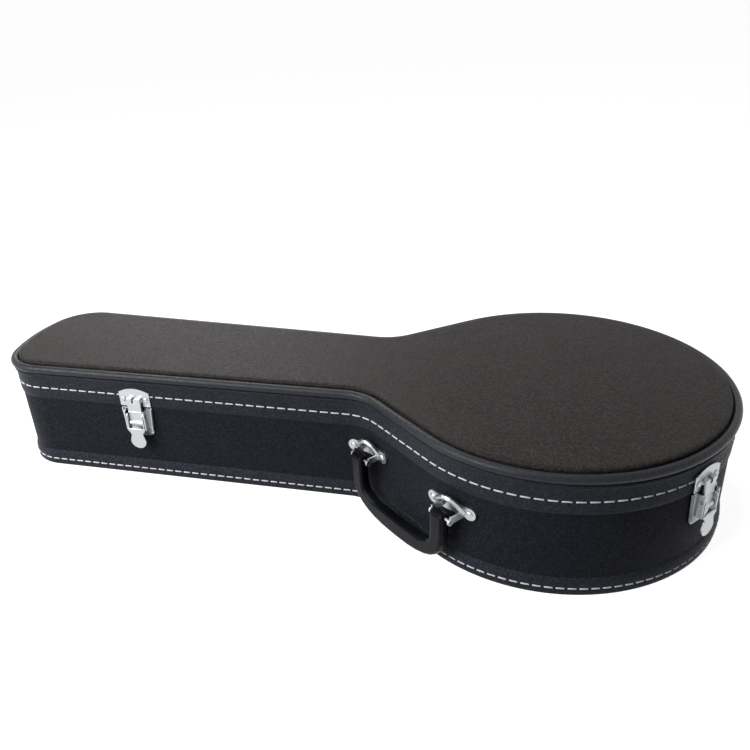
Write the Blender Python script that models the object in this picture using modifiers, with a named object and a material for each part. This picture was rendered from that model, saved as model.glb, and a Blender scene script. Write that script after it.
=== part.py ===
"""Round-bodied mandolin case with a hinged lid, two draw latches and a hanging handle.

Metres, +Z up. The case lies flat on its base. The origin is on the underside, at the centre
of the round body. The neck runs towards -X, the handle and latches face -Y and the hinges
are at +Y.
"""
from math import asin, atan2, ceil, cos, pi, radians, sin, sqrt, tan

import bmesh
import bpy
from mathutils import Matrix, Vector
from mathutils.geometry import intersect_line_line_2d

# Clearances
GAP = 0.0003            # between pieces that touch
SLIDE = 0.0004          # beside pieces that turn past each other
INSET = 0.0001          # keeps the faces of joined solids from lying in one plane

# Plan of the case wall, seen from above
BODY_RADIUS = 0.155
END_DISTANCE = 0.566        # body centre to the end of the neck
THROAT_HALF_WIDTH = 0.0590  # where the neck meets the flare
HEAD_HALF_WIDTH = 0.0705    # at the end of the neck
FLARE_ANGLE = radians(40)   # of the straight shoulder, to the long axis
THROAT_FILLET = 0.050
HEAD_CORNER = 0.043
HEAD_BOW = 0.150            # radius of the slightly rounded end
ARC_STEP = radians(7.5)

# Heights
BASE_HEIGHT = 0.0812        # underside to the top edge of the base
PARTING_GAP = 0.0005
LID_HEIGHT = 0.0399         # parting to the flat top

# Boards
SIDE_BOARD = 0.005
LID_SIDE_BOARD = 0.006
FLOOR_BOARD = 0.005
TOP_BOARD = 0.0056

# Leatherette
COVER = 0.0012
TOP_COVER = 0.0047          # leatherette on a sheet of foam
TOP_EDGE = 0.0030           # radius of its edge
LID_STANDS_PROUD = 0.0010   # how far the lid's side stands out past the base's
HEM_HEIGHT = 0.0140
HEM_CLEARANCE = 0.0005
PIPING_RADIUS = 0.00425
PIPING_DROP = 0.0021        # flat top to the top of the bead
PIPING_OUT = 0.0002         # of its centre, past the base wall

# Lining
FLOOR_PAD = 0.0060
SIDE_LINING = 0.0030
LIP_THICKNESS = 0.0020
LIP_CLEARANCE = 0.0007
LIP_RISE = 0.0078           # above the base's top edge
LIP_DEPTH = 0.0200          # below the base's top edge
LID_PAD = 0.0060
LID_LINING_CLEARANCE = 0.0015

# Neck rests, which also close off the open space between them
REST_THICKNESS = 0.014
REST_NEAR_X = -0.240
REST_FAR_X = -0.380
REST_HEIGHT = 0.048
NOTCH_WIDTH = 0.050
NOTCH_DEPTH = 0.024

# Hinges
HINGE_STANDOFF = 0.0050     # axis to the base wall
HINGE_SPACING = 0.064
HINGE_WIDTH = 0.030
LEAF_THICKNESS = 0.0014
LEAF_HEIGHT = 0.021
LEAF_TO_PARTING = 0.0025
KNUCKLE_RADIUS = 0.0030
HINGE_PIN_RADIUS = 0.00125
STOP_WIDTH = 0.0070
STOP_REACH = 0.0090
STOP_THICKNESS = 0.0024
STOP_LANDING = radians(-60)     # of the open stops, down from level
LID_OPENS = radians(105)
WEB_REACH = 0.3             # into the knuckle, of its radius
FIN_ROOT = 0.6              # start of the fin, of the knuckle's radius
LEAF_RIVETS_OUT = 0.3       # from the leaf's middle, of its width
LEAF_RIVETS_UP = 0.6        # from the parting, of the leaf's height
LEAF_SEAT = 0.9             # underside of the rivets' heads, of the leaf's thickness
WALL_SIDES = 132            # of the cylinder that the leaves are curved to

# Latches
LATCH_NECK_X = -0.4085
LATCH_BODY_ANGLE = radians(-37.5)
LATCH_WIDTH = 0.0325        # at the top
LATCH_FOOT_WIDTH = 0.0285   # where its round corners begin
LATCH_PLATE = 0.0013
LATCH_PLATE_HEIGHT = 0.0320
LATCH_PLATE_CORNER = 0.0060
LATCH_RIM_WIDTH = 0.0012
LATCH_RIM_RISE = 0.0016
CATCH_WIDTH = 0.0330
CATCH_RISE = 0.0013         # lid's lower edge to the plate's
CATCH_HEIGHT = 0.0155       # at its sides
CATCH_ARCH = 0.0045         # rise of its round top
CATCH_RIVETS_OUT = 0.37     # of its width
CATCH_RIVETS_UP = 0.5       # of its height
PLATE_RIVETS = (("lower", 0.14), ("upper", 0.84))   # up from its lower edge, of its height
KEEPER_HEIGHT = 0.0032
KEEPER_DEPTH = 0.0032       # from the back of the catch plate
CHEEK_SPACING = 0.0190      # between the inner faces
CHEEK_THICKNESS = 0.0014
CHEEK_HEIGHT = 0.0220
CHEEK_DEPTH = 0.0076        # from the plate's face
PIVOT_BELOW_PARTING = 0.0074
PIVOT_PIN_RADIUS = 0.0015
EYE_WALL = 0.0016
CLAW_PIN_BELOW = 0.0080     # claw pin below the lever's pivot
CLAW_PIN_IN = 0.0009        # past centre, towards the wall
CLAW_PIN_RADIUS = 0.0013
CLAW_WIDTH = 0.0146
CLAW_THICKNESS = 0.0016
CLAW_REACH = 0.0271         # claw pin to the hook's top
CLAW_TAIL = 0.0045          # claw pin to its lower edge
CREASE_RADIUS = 0.0007      # of the pressed ridges across the claw and the lever
CREASE_UP = 0.0120          # claw pin to the claw's ridge
FINGER_GAP = 0.0040
EAR_THICKNESS = 0.0013
LEVER_BULGE = 0.0039        # lever's face, out from its pivot
LEVER_THICKNESS = 0.0014
LEVER_TOP_BELOW = 0.0135    # its face's top below the pivot
LEVER_END_BELOW = 0.0360    # the thumb tab's end below the pivot
TAB_WAIST = 0.0126
TAB_WIDTH = 0.0170
SHOULDER_BELOW = 0.1        # end of the lever's shoulders, of its face's height
WAIST_BELOW = 0.3           # its waist
WAIST_DRAW = 0.1            # how hollow the line between them is, of the waist's half
LEVER_RIDGE = 1.2           # its ridge, of the claw's
PIN_FIT = 0.0003            # round a pin or a rivet

# Handle
HANDLE_TOWARDS_BODY = 0.0160    # its middle, from the middle of the straight shoulder
BRACKET_SPACING = 0.0885    # along the case's long axis
BRACKET_HEIGHT = 0.0630     # its rivets
FOOT_SPACING = 0.0380       # between the bracket's rivets, along the wall
FOOT_RADIUS = 0.0060
FOOT_THICKNESS = 0.0024
BACK_PLATE = 0.0012
BACK_PLATE_HEIGHT = 0.0104
BACK_PLATE_END = 0.0013     # past the middle of each foot
STRAP_RADIUS = 0.0025
STRAP_RISE = 0.0110         # middle of the strap above the rivets
STRAP_OUT = 0.0075          # middle of the strap from the wall
STRAP_FULLNESS = 0.7        # below 1 the arch is fuller than a sine
STRAP_STEPS = 8
LUG_SPACING = 0.0212
LUG_THICKNESS = 0.0018
HANDLE_STANDOFF = 0.0148    # pivot to the wall
PIVOT_BELOW_RIVETS = 0.0033
HANDLE_PIN_RADIUS = 0.0013
LINK_THICKNESS = 0.0020
LINK_EYE_WALL = 0.0010
LINK_EYE_WIDTH = 0.0100
LINK_TOP_WIDTH = 0.0070
LINK_WIDTH = 0.0090         # at its lower end, which the leg is moulded round
LINK_LENGTH = 0.0180
HANDLE_SLIDE = 0.0024       # the legs hang this far along their pins, towards the neck
HANDLE_REACH = 0.0557       # pivot to the outer edge of the grip
GRIP_HEIGHT = 0.0170
GRIP_THICKNESS = 0.0100
LEG_WIDTH = 0.0156
LEG_RISE = 0.0033           # top of the legs above the pivot
SHOULDER = 0.0167           # where the legs start to curve, below the pivot
HANDLE_EDGE = 0.0030
OUTER_SQUARENESS = 2.6
INNER_SQUARENESS = 3.4

# Rivets
RIVET_HEAD = 0.0030
RIVET_HEAD_HEIGHT = 0.0011
RIVET_SHANK = 0.0014
RIVET_DOME = 0.6            # its head's flat top, of its radius

WALL_STEP = 0.0005          # of the walk along the wall
WELD = 1e-6

PART_COLLECTION = "mandolin_case"
CUTTER_COLLECTION = "cutters"

# Places along the case that follow from its plan
SHOULDER_X = -BODY_RADIUS * sin(FLARE_ANGLE)
SHOULDER_HALF_WIDTH = BODY_RADIUS * cos(FLARE_ANGLE)
THROAT_X = SHOULDER_X - (SHOULDER_HALF_WIDTH - THROAT_HALF_WIDTH) / tan(FLARE_ANGLE)
HANDLE_X = (SHOULDER_X + THROAT_X) / 2 + HANDLE_TOWARDS_BODY
BRACKET_NECK_X = HANDLE_X - BRACKET_SPACING / 2
BRACKET_BODY_X = HANDLE_X + BRACKET_SPACING / 2
HANDLE_AXIS_HEIGHT = BRACKET_HEIGHT - PIVOT_BELOW_RIVETS

# Levels that follow from the sizes above
PARTING = BASE_HEIGHT + PARTING_GAP / 2
LID_BOTTOM = BASE_HEIGHT + PARTING_GAP
TOP = LID_BOTTOM + LID_HEIGHT
PIPING_Z = TOP - PIPING_DROP - PIPING_RADIUS
FLOOR_BOARD_Z = COVER + GAP
FLOOR_TOP = FLOOR_BOARD_Z + FLOOR_BOARD
PAD_Z = FLOOR_TOP + GAP
PAD_TOP = PAD_Z + FLOOR_PAD
TOP_COVER_Z = TOP - TOP_COVER
TOP_BOARD_Z = TOP_COVER_Z - GAP - TOP_BOARD
LIP_TOP = BASE_HEIGHT + LIP_RISE
LIP_BOTTOM = BASE_HEIGHT - LIP_DEPTH
HINGE_Y = BODY_RADIUS + HINGE_STANDOFF

# Distances from the base wall's outer face, inwards
BOARD_OUT = -(COVER + GAP)
BOARD_IN = BOARD_OUT - SIDE_BOARD
LID_BOARD_OUT = LID_STANDS_PROUD - COVER - GAP
LID_BOARD_IN = LID_BOARD_OUT - LID_SIDE_BOARD
LIP_OUT = min(BOARD_IN, LID_BOARD_IN) - LIP_CLEARANCE
LINING_OUT = BOARD_IN - GAP
LINING_IN = LINING_OUT - SIDE_LINING
LID_LINING_OUT = LID_BOARD_IN - GAP
PIPING_IN = PIPING_OUT - PIPING_RADIUS

# Distances from the base wall's outer face, outwards, at a latch
PLATE_FACE = GAP + LATCH_PLATE
CATCH_FACE = LID_STANDS_PROUD + GAP + LATCH_PLATE
KEEPER_FACE = LID_STANDS_PROUD + GAP + KEEPER_DEPTH
CLAW_BACK = KEEPER_FACE + GAP
CLAW_FACE = CLAW_BACK + CLAW_THICKNESS
CLAW_PIN_OUT = CLAW_BACK + CLAW_THICKNESS / 2
PIVOT_OUT = CLAW_PIN_OUT + CLAW_PIN_IN
LEVER_FACE = PIVOT_OUT + LEVER_BULGE

# Heights at a latch
PIVOT_Z = PARTING - PIVOT_BELOW_PARTING
CLAW_PIN_Z = PIVOT_Z - CLAW_PIN_BELOW
HOOK_TOP = CLAW_PIN_Z + CLAW_REACH
KEEPER_TOP = HOOK_TOP - CLAW_THICKNESS - GAP


# Materials

def make_material(name, color, roughness, metallic=0.0):
    material = bpy.data.materials.new(name)
    material.use_nodes = True
    shader = material.node_tree.nodes["Principled BSDF"]
    shader.inputs["Base Color"].default_value = (*color, 1.0)
    shader.inputs["Roughness"].default_value = roughness
    shader.inputs["Metallic"].default_value = metallic
    material.diffuse_color = (*color, 1.0)
    return material


def make_materials():
    return {
        "board": make_material("plywood", (0.42, 0.29, 0.17), 0.7),
        "side": make_material("side_leatherette", (0.012, 0.013, 0.016), 0.45),
        "top": make_material("top_leatherette", (0.030, 0.026, 0.025), 0.5),
        "piping": make_material("piping_leatherette", (0.014, 0.014, 0.016), 0.38),
        "lining": make_material("plush_lining", (0.10, 0.012, 0.03), 0.95),
        "chrome": make_material("bright_plated_steel", (0.78, 0.78, 0.80), 0.18, 1.0),
        "steel": make_material("steel_pin", (0.45, 0.45, 0.46), 0.35, 1.0),
        "handle": make_material("moulded_handle", (0.010, 0.010, 0.012), 0.4),
    }


# Scene helpers

def make_collection(name):
    made = bpy.data.collections.new(name)
    bpy.context.scene.collection.children.link(made)
    return made


def clear_scene():
    for obj in list(bpy.data.objects):
        bpy.data.objects.remove(obj, do_unlink=True)


clear_scene()
PARTS = make_collection(PART_COLLECTION)
CUTTERS = make_collection(CUTTER_COLLECTION)
MATERIALS = make_materials()


def add_object(name, data, frame=None):
    """An unnamed-material object in the cutters' collection, until it is made a part."""
    obj = bpy.data.objects.new(name, data)
    obj.matrix_world = frame or Matrix.Identity(4)
    CUTTERS.objects.link(obj)
    obj.hide_render = True
    obj.display_type = "WIRE"
    return obj


def make_part(obj, name, material, parent=None):
    """Show an object as a finished piece, on its parent's joint if it has one."""
    CUTTERS.objects.unlink(obj)
    PARTS.objects.link(obj)
    obj.name = name
    obj.hide_render = False
    obj.display_type = "TEXTURED"
    obj.data.materials.clear()
    obj.data.materials.append(MATERIALS[material])
    if parent:
        obj.parent = parent
        obj.matrix_parent_inverse = parent.matrix_world.inverted()
    return obj


def add_pivot(name, frame):
    pivot = bpy.data.objects.new(name, None)
    pivot.empty_display_size = 0.01
    pivot.matrix_world = frame
    PARTS.objects.link(pivot)
    return pivot


def mesh_from(bm, name):
    mesh = bpy.data.meshes.new(name)
    bmesh.ops.recalc_face_normals(bm, faces=bm.faces)
    bm.to_mesh(mesh)
    bm.free()
    return mesh


def block(name, low, high, frame=None):
    bm = bmesh.new()
    bmesh.ops.create_cube(bm, size=1.0)
    size = Vector(high) - Vector(low)
    middle = (Vector(high) + Vector(low)) / 2
    bmesh.ops.scale(bm, vec=size, verts=bm.verts)
    bmesh.ops.translate(bm, vec=middle, verts=bm.verts)
    return add_object(name, mesh_from(bm, name), frame)


def rod(name, start, end, radius, sides=16, frame=None, end_radius=None):
    """A round bar, or a cone, from start to end."""
    start = Vector(start)
    run = Vector(end) - start
    tip = radius if end_radius is None else end_radius
    bm = bmesh.new()
    bmesh.ops.create_cone(bm, cap_ends=True, segments=sides, radius1=radius, radius2=tip,
                          depth=run.length)
    turn = Vector((0, 0, 1)).rotation_difference(run.normalized()).to_matrix().to_4x4()
    place = Matrix.Translation(start + run / 2) @ turn
    bmesh.ops.transform(bm, matrix=place, verts=bm.verts)
    obj = add_object(name, mesh_from(bm, name), frame)
    smooth(obj)
    return obj


def smooth(obj):
    obj.data.shade_smooth()
    obj.data.set_sharp_from_angle(angle=radians(40))


def outline_plate(name, points, low, high, frame=None):
    """A flat outline in the frame's XY plane, from low to high along its Z."""
    curve = bpy.data.curves.new(name, "CURVE")
    curve.dimensions = "2D"
    curve.fill_mode = "BOTH"
    curve.extrude = (high - low) / 2
    spline = curve.splines.new("POLY")
    spline.points.add(len(points) - 1)
    for point, (x, y) in zip(spline.points, points):
        point.co = (x, y, 0, 1)
    spline.use_cyclic_u = True
    place = (frame or Matrix.Identity(4)) @ Matrix.Translation((0, 0, (low + high) / 2))
    return add_object(name, curve, place)


def as_mesh(obj):
    """The same object as a welded mesh, so that it can be cut or joined."""
    bpy.context.view_layer.update()
    evaluated = obj.evaluated_get(bpy.context.evaluated_depsgraph_get())
    mesh = bpy.data.meshes.new_from_object(evaluated)
    bm = bmesh.new()
    bm.from_mesh(mesh)
    bmesh.ops.remove_doubles(bm, verts=bm.verts, dist=WELD)
    bmesh.ops.recalc_face_normals(bm, faces=bm.faces)
    bm.to_mesh(mesh)
    bm.free()
    welded = add_object(obj.name, mesh, obj.matrix_world.copy())
    bpy.data.objects.remove(obj, do_unlink=True)
    return welded


def combine(obj, others, operation):
    for other in others:
        modifier = obj.modifiers.new(operation.lower(), "BOOLEAN")
        modifier.operation = operation
        modifier.object = other
    return obj


def join(obj, others):
    return combine(obj, others, "UNION")


def cut(obj, others):
    return combine(obj, others, "DIFFERENCE")


# Plan outline

def arc_stations(centre, radius, start, end, concave=False):
    """Points on an arc with the wall's outward normal at each."""
    steps = max(2, ceil(abs(end - start) / ARC_STEP))
    stations = []
    for step in range(steps + 1):
        angle = start + (end - start) * step / steps
        ray = Vector((cos(angle), sin(angle)))
        stations.append((centre + ray * radius, -ray if concave else ray))
    return stations


def heading_angle(vector):
    return atan2(vector.y, vector.x)


def outline_stations():
    """The outer face of the base wall, anticlockwise from the body's far end.

    Each side runs round the body, along the straight flare, round the hollow throat, along
    the neck, round the head's corner and across the bowed end.
    """
    body_centre = Vector((0, 0))
    tangent_angle = pi / 2 + FLARE_ANGLE
    flare = Vector((-cos(FLARE_ANGLE), -sin(FLARE_ANGLE)))
    flare_out = Vector((flare.y, -flare.x))

    # The neck's side line, tapering from the head to the throat
    throat = Vector((THROAT_X, THROAT_HALF_WIDTH))
    head = Vector((-END_DISTANCE, HEAD_HALF_WIDTH))
    neck = (head - throat).normalized()
    neck_out = Vector((neck.y, -neck.x))

    # The hollow fillet between the flare and the neck
    turn = flare.angle(neck)
    inset = THROAT_FILLET * tan(turn / 2)
    fillet_start = throat - flare * inset
    fillet_centre = fillet_start + flare_out * THROAT_FILLET
    fillet_from = heading_angle(-flare_out)
    fillet_to = heading_angle(-neck_out)

    # The head's corner, between the neck's side and the bowed end
    bow_centre = Vector((-END_DISTANCE + HEAD_BOW, 0))
    side_line = throat - neck_out * HEAD_CORNER
    to_line = side_line - bow_centre
    along = neck.dot(to_line)
    reach = HEAD_BOW - HEAD_CORNER
    run = -along + sqrt(along * along - to_line.dot(to_line) + reach * reach)
    corner_centre = side_line + neck * run
    corner_from = heading_angle(neck_out)
    corner_to = heading_angle(corner_centre - bow_centre)

    half = arc_stations(body_centre, BODY_RADIUS, 0, tangent_angle)
    half += arc_stations(fillet_centre, THROAT_FILLET, fillet_from, fillet_to, concave=True)
    half += arc_stations(corner_centre, HEAD_CORNER, corner_from, corner_to)
    half += arc_stations(bow_centre, HEAD_BOW, corner_to, pi)[1:]
    mirror = [(Vector((p.x, -p.y)), Vector((n.x, -n.y))) for p, n in reversed(half[1:-1])]
    return half + mirror


STATIONS = outline_stations()


def outline(offset):
    return [tuple(point + normal * offset) for point, normal in STATIONS]


def wall_at(x, front=True):
    """The wall's point and outward normal at x, on the front or the back side."""
    side = -1 if front else 1
    ring = STATIONS + STATIONS[:1]
    for (p, n), (q, m) in zip(ring, ring[1:]):
        if (p.y + q.y) * side <= 0 or min(p.x, q.x) > x or max(p.x, q.x) < x:
            continue
        share = (x - p.x) / (q.x - p.x)
        normal = n.lerp(m, share).normalized()
        bulge = max(0, (q - p).dot(m - n)) * share * (1 - share) / 2
        return p.lerp(q, share) + normal * bulge, normal
    raise ValueError("no wall at this x")


def wall_along(x, distance):
    """The front wall's point and normal at a distance from x, measured along the wall."""
    steps = ceil(abs(distance) / WALL_STEP)
    point, normal = wall_at(x)
    for _ in range(steps):
        x += distance / steps * abs(normal.y)
        point, normal = wall_at(x)
    return point, normal


def hollow_rise(x, distance, radius):
    """How far the wall rises, within a radius, over its tangent at a distance from x."""
    point, normal = wall_along(x, distance)
    edges = [wall_along(x, distance + step)[0] for step in (-radius, radius)]
    return max(0, *((edge - point).dot(normal) for edge in edges))


def wall_frame(point, normal, height=0.0):
    """Axes on the wall: X along it, Y outwards, Z up."""
    out = Vector((normal.x, normal.y, 0))
    up = Vector((0, 0, 1))
    along = out.cross(up)
    rotation = Matrix((along, out, up)).transposed().to_4x4()
    return Matrix.Translation((point.x, point.y, height)) @ rotation


def swept_skin(name, profile, closed_floor=False, closed_top=False):
    """A surface round the case that follows profile, given as (out, height) steps."""
    bm = bmesh.new()
    station = bm.verts.layers.int.new("station")
    out, height = profile[0]
    ring = []
    for index, (point, normal) in enumerate(STATIONS):
        vert = bm.verts.new((*(point + normal * out), height))
        vert[station] = index
        ring.append(vert)
    edges = [bm.edges.new((a, b)) for a, b in zip(ring, ring[1:] + ring[:1])]
    if closed_floor:
        bmesh.ops.contextual_create(bm, geom=edges)
    for out, height in profile[1:]:
        grown = bmesh.ops.extrude_edge_only(bm, edges=edges)["geom"]
        edges = [item for item in grown if isinstance(item, bmesh.types.BMEdge)
                 and all(vert in grown for vert in item.verts)]
        for vert in grown:
            if isinstance(vert, bmesh.types.BMVert):
                point, normal = STATIONS[vert[station]]
                vert.co = (*(point + normal * out), height)
        edges = [edge for edge in edges if len(edge.link_faces) == 1]
    if closed_top:
        bmesh.ops.contextual_create(bm, geom=edges)
    return add_object(name, mesh_from(bm, name))


def swept_wall(name, profile, thickness, closed_floor=False):
    """A shell round the case, whose outer face follows profile."""
    obj = swept_skin(name, profile, closed_floor)
    face_outwards(obj.data)
    solid = obj.modifiers.new("thickness", "SOLIDIFY")
    solid.thickness = thickness
    solid.offset = -1
    solid.use_even_offset = True
    smooth(obj)
    return obj


def face_outwards(mesh):
    """Turn a shell's faces so that its steepest wall faces away from the case."""
    upright = min(mesh.polygons, key=lambda face: abs(face.normal.z) - face.area)
    centre = Vector(upright.center).xy
    nearest = min(STATIONS, key=lambda station: (station[0] - centre).length)
    if Vector(upright.normal).xy.dot(nearest[1]) < 0:
        mesh.flip_normals()


def straight_wall(name, outer, inner, low, high):
    return swept_wall(name, [(outer, low), (outer, high)], outer - inner)


def bulkhead(name, x, thickness, offset, low, high):
    """A cross wall in the neck, shaped to the inner face at this offset."""
    near, near_normal = wall_at(x + thickness / 2, front=False)
    far, far_normal = wall_at(x - thickness / 2, front=False)
    near = near + near_normal * offset
    far = far + far_normal * offset
    points = [(near.x, near.y), (far.x, far.y), (far.x, -far.y), (near.x, -near.y)]
    return outline_plate(name, points, low, high)


# Boards and coverings

def build_base_shell():
    floor = outline_plate("floor", outline(BOARD_IN - GAP), FLOOR_BOARD_Z, FLOOR_TOP)
    make_part(floor, "base_floor_board", "board")

    side = straight_wall("side", BOARD_OUT, BOARD_IN, FLOOR_BOARD_Z,
                         BASE_HEIGHT - COVER - GAP)
    hem_out = COVER + HEM_CLEARANCE
    bottom = swept_wall("bottom", [(hem_out - COVER, 0), (hem_out, COVER),
                                   (hem_out, HEM_HEIGHT)], COVER, closed_floor=True)
    cover = swept_wall("cover", [(0, FLOOR_BOARD_Z), (0, BASE_HEIGHT),
                                 (BOARD_IN, BASE_HEIGHT)], COVER)
    make_part(bottom, "base_bottom_covering", "side")
    return side, cover


def build_lid_shell(pivot):
    board_in = PIPING_IN - GAP
    top = outline_plate("top", outline(board_in), TOP_BOARD_Z, TOP_BOARD_Z + TOP_BOARD)
    make_part(top, "lid_top_board", "board", pivot)
    edge = arc_points((board_in - TOP_EDGE, TOP - TOP_EDGE), TOP_EDGE, 0, pi / 2, 3)
    top_cover = swept_skin("top_cover", [(board_in, TOP_COVER_Z)] + edge, closed_floor=True,
                           closed_top=True)
    smooth(top_cover)
    make_part(top_cover, "lid_top_covering", "top", pivot)

    side = straight_wall("lid_side", LID_BOARD_OUT, LID_BOARD_IN,
                         LID_BOTTOM + COVER + GAP, TOP_BOARD_Z - GAP)
    out = LID_STANDS_PROUD
    shoulder = PIPING_Z - PIPING_RADIUS - GAP
    cover = swept_wall("lid_cover", [(LID_BOARD_IN, LID_BOTTOM), (out, LID_BOTTOM),
                                     (out, shoulder)], COVER)
    return side, cover


def build_piping(pivot):
    curve = bpy.data.curves.new("piping", "CURVE")
    curve.dimensions = "3D"
    curve.bevel_depth = PIPING_RADIUS
    curve.bevel_resolution = 2
    spline = curve.splines.new("POLY")
    ring = outline(PIPING_OUT)
    spline.points.add(len(ring) - 1)
    for point, (x, y) in zip(spline.points, ring):
        point.co = (x, y, PIPING_Z, 1)
    spline.use_cyclic_u = True
    make_part(add_object("piping", curve), "lid_piping", "piping", pivot)


def build_linings(pivot):
    floor_pad = outline_plate("floor_pad", outline(BOARD_IN - GAP), PAD_Z, PAD_TOP)
    make_part(floor_pad, "base_floor_pad", "lining")
    side = straight_wall("side_lining", LINING_OUT, LINING_IN, PAD_TOP + GAP,
                         LIP_BOTTOM - GAP)
    make_part(side, "base_side_lining", "lining")
    lip = straight_wall("lip", LIP_OUT, LIP_OUT - LIP_THICKNESS, LIP_BOTTOM, LIP_TOP)
    make_part(lip, "base_closing_lip", "lining")

    pad_top = TOP_BOARD_Z - GAP
    pad = outline_plate("lid_pad", outline(LID_BOARD_IN - GAP), pad_top - LID_PAD, pad_top)
    make_part(pad, "lid_top_pad", "lining", pivot)
    lining = straight_wall("lid_lining", LID_LINING_OUT, LID_LINING_OUT - SIDE_LINING,
                           LIP_TOP + LID_LINING_CLEARANCE, pad_top - LID_PAD - GAP)
    make_part(lining, "lid_side_lining", "lining", pivot)


def build_neck_rests():
    low = PAD_TOP + GAP
    high = low + REST_HEIGHT
    radius = NOTCH_WIDTH / 2
    ends = (("neck_rest_body_side", REST_NEAR_X), ("neck_rest_head_side", REST_FAR_X))
    for name, x in ends:
        rest = as_mesh(bulkhead(name, x, REST_THICKNESS, LINING_IN - GAP, low, high))
        centre = high - NOTCH_DEPTH + radius
        notch = rod("notch", (x - REST_THICKNESS, 0, centre), (x + REST_THICKNESS, 0, centre),
                    radius, 24)
        cut(rest, [notch])
        make_part(rest, name, "lining")


# Rivets and the holes that they need

def rivet(frame, x, z, seat, tail):
    """A domed rivet: its head's underside is at seat and its shank ends at tail, along Y."""
    top = seat + RIVET_HEAD_HEIGHT
    head = rod("rivet", (x, seat, z), (x, top, z), RIVET_HEAD, 10, frame,
               end_radius=RIVET_HEAD * RIVET_DOME)
    shank = rod("shank", (x, tail, z), (x, seat + RIVET_HEAD_HEIGHT / 2, z), RIVET_SHANK, 6,
                frame)
    return join(head, [shank])


def rivet_hole(frame, x, z, seat, tail):
    """A cutter that clears a rivet's shank, from past its seat to past its tail."""
    beyond = 3 * RIVET_HEAD_HEIGHT
    return rod("rivet_hole", (x, tail - beyond, z), (x, seat + beyond, z),
               RIVET_SHANK + PIN_FIT, 6, frame)


def add_rivet(name, frame, x, z, seat, tail, parent=None):
    """Make a rivet that sits just off seat, and return the cutter for its hole."""
    make_part(rivet(frame, x, z, seat + GAP, tail), name, "chrome", parent)
    return rivet_hole(frame, x, z, seat, tail)


# Hinges

def curved_leaf(x, inner_radius, low, high):
    """A leaf that follows the round wall: a block between two cylinders."""
    outer_radius = inner_radius + LEAF_THICKNESS
    half = HINGE_WIDTH / 2
    leaf = block("leaf", (x - half, inner_radius * 0.85, low),
                 (x + half, outer_radius + LEAF_THICKNESS, high))
    combine(leaf, [round_wall(outer_radius)], "INTERSECT")
    return cut(leaf, [round_wall(inner_radius)])


def round_wall(radius):
    """A tall cylinder round the body's centre."""
    return rod("round_wall", (0, 0, -TOP), (0, 0, 2 * TOP), radius, WALL_SIDES)


def knuckle_spans(x):
    """The base leaf's two outer knuckles and the lid leaf's middle one, along X."""
    third = (HINGE_WIDTH - 2 * SLIDE) / 3
    left = x - HINGE_WIDTH / 2
    first = (left, left + third)
    middle = (first[1] + SLIDE, first[1] + SLIDE + third)
    last = (middle[1] + SLIDE, x + HINGE_WIDTH / 2)
    return first, middle, last


def add_knuckle(leaf, span, wall_radius, rise):
    """A knuckle round the hinge's axis, and the web that ties it to the leaf."""
    start, end = span
    barrel = rod("knuckle", (start, HINGE_Y, PARTING), (end, HINGE_Y, PARTING),
                 KNUCKLE_RADIUS, 14)
    inset = 2 * INSET
    wall_y = sqrt(wall_radius ** 2 - max(abs(start), abs(end)) ** 2)
    low = min(rise, SLIDE if rise > 0 else -SLIDE)
    high = max(rise, SLIDE if rise > 0 else -SLIDE)
    web = block("web", (start + inset, wall_y, PARTING + low),
                (end - inset, HINGE_Y - KNUCKLE_RADIUS * WEB_REACH, PARTING + high))
    cut(web, [round_wall(wall_radius + 2 * GAP)])
    join(leaf, [barrel, web])


def add_stops(base_leaf, lid_leaf, span):
    """Lugs that meet when the lid is fully open: a fin on the lid's knuckle comes down on a
    shelf on the base's leaf."""
    middle = (span[0] + span[1]) / 2
    start = middle - STOP_WIDTH / 2
    end = middle + STOP_WIDTH / 2
    axis = Matrix.Translation((0, HINGE_Y, PARTING))
    fin_frame = axis @ Matrix.Rotation(STOP_LANDING + LID_OPENS, 4, "X")
    half = STOP_THICKNESS / 2
    fin = block("fin", (start, KNUCKLE_RADIUS * FIN_ROOT, -half), (end, STOP_REACH, half),
                fin_frame)
    join(lid_leaf, [fin])

    shelf_frame = axis @ Matrix.Rotation(STOP_LANDING, 4, "X")
    shelf = block("shelf", (start, KNUCKLE_RADIUS + 2 * GAP, -BODY_RADIUS / 8),
                  (end, STOP_REACH, -half - GAP), shelf_frame)
    cut(shelf, [round_wall(BODY_RADIUS + 2 * GAP)])
    join(base_leaf, [shelf])


def rivet_leaf(leaf, x, middle, radius, tail):
    """Two rivets that are one with their leaf; returns the holes for the wall behind."""
    rivets = []
    holes = []
    for side in (-1, 1):
        angle = asin((x + side * LEAF_RIVETS_OUT * HINGE_WIDTH) / radius)
        normal = Vector((sin(angle), cos(angle)))
        frame = wall_frame(normal * radius, normal)
        seat = GAP + LEAF_THICKNESS * LEAF_SEAT
        rivets.append(rivet(frame, 0, middle, seat, tail))
        holes.append(rivet_hole(frame, 0, middle, seat, tail))
    join(leaf, rivets)
    return holes


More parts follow.
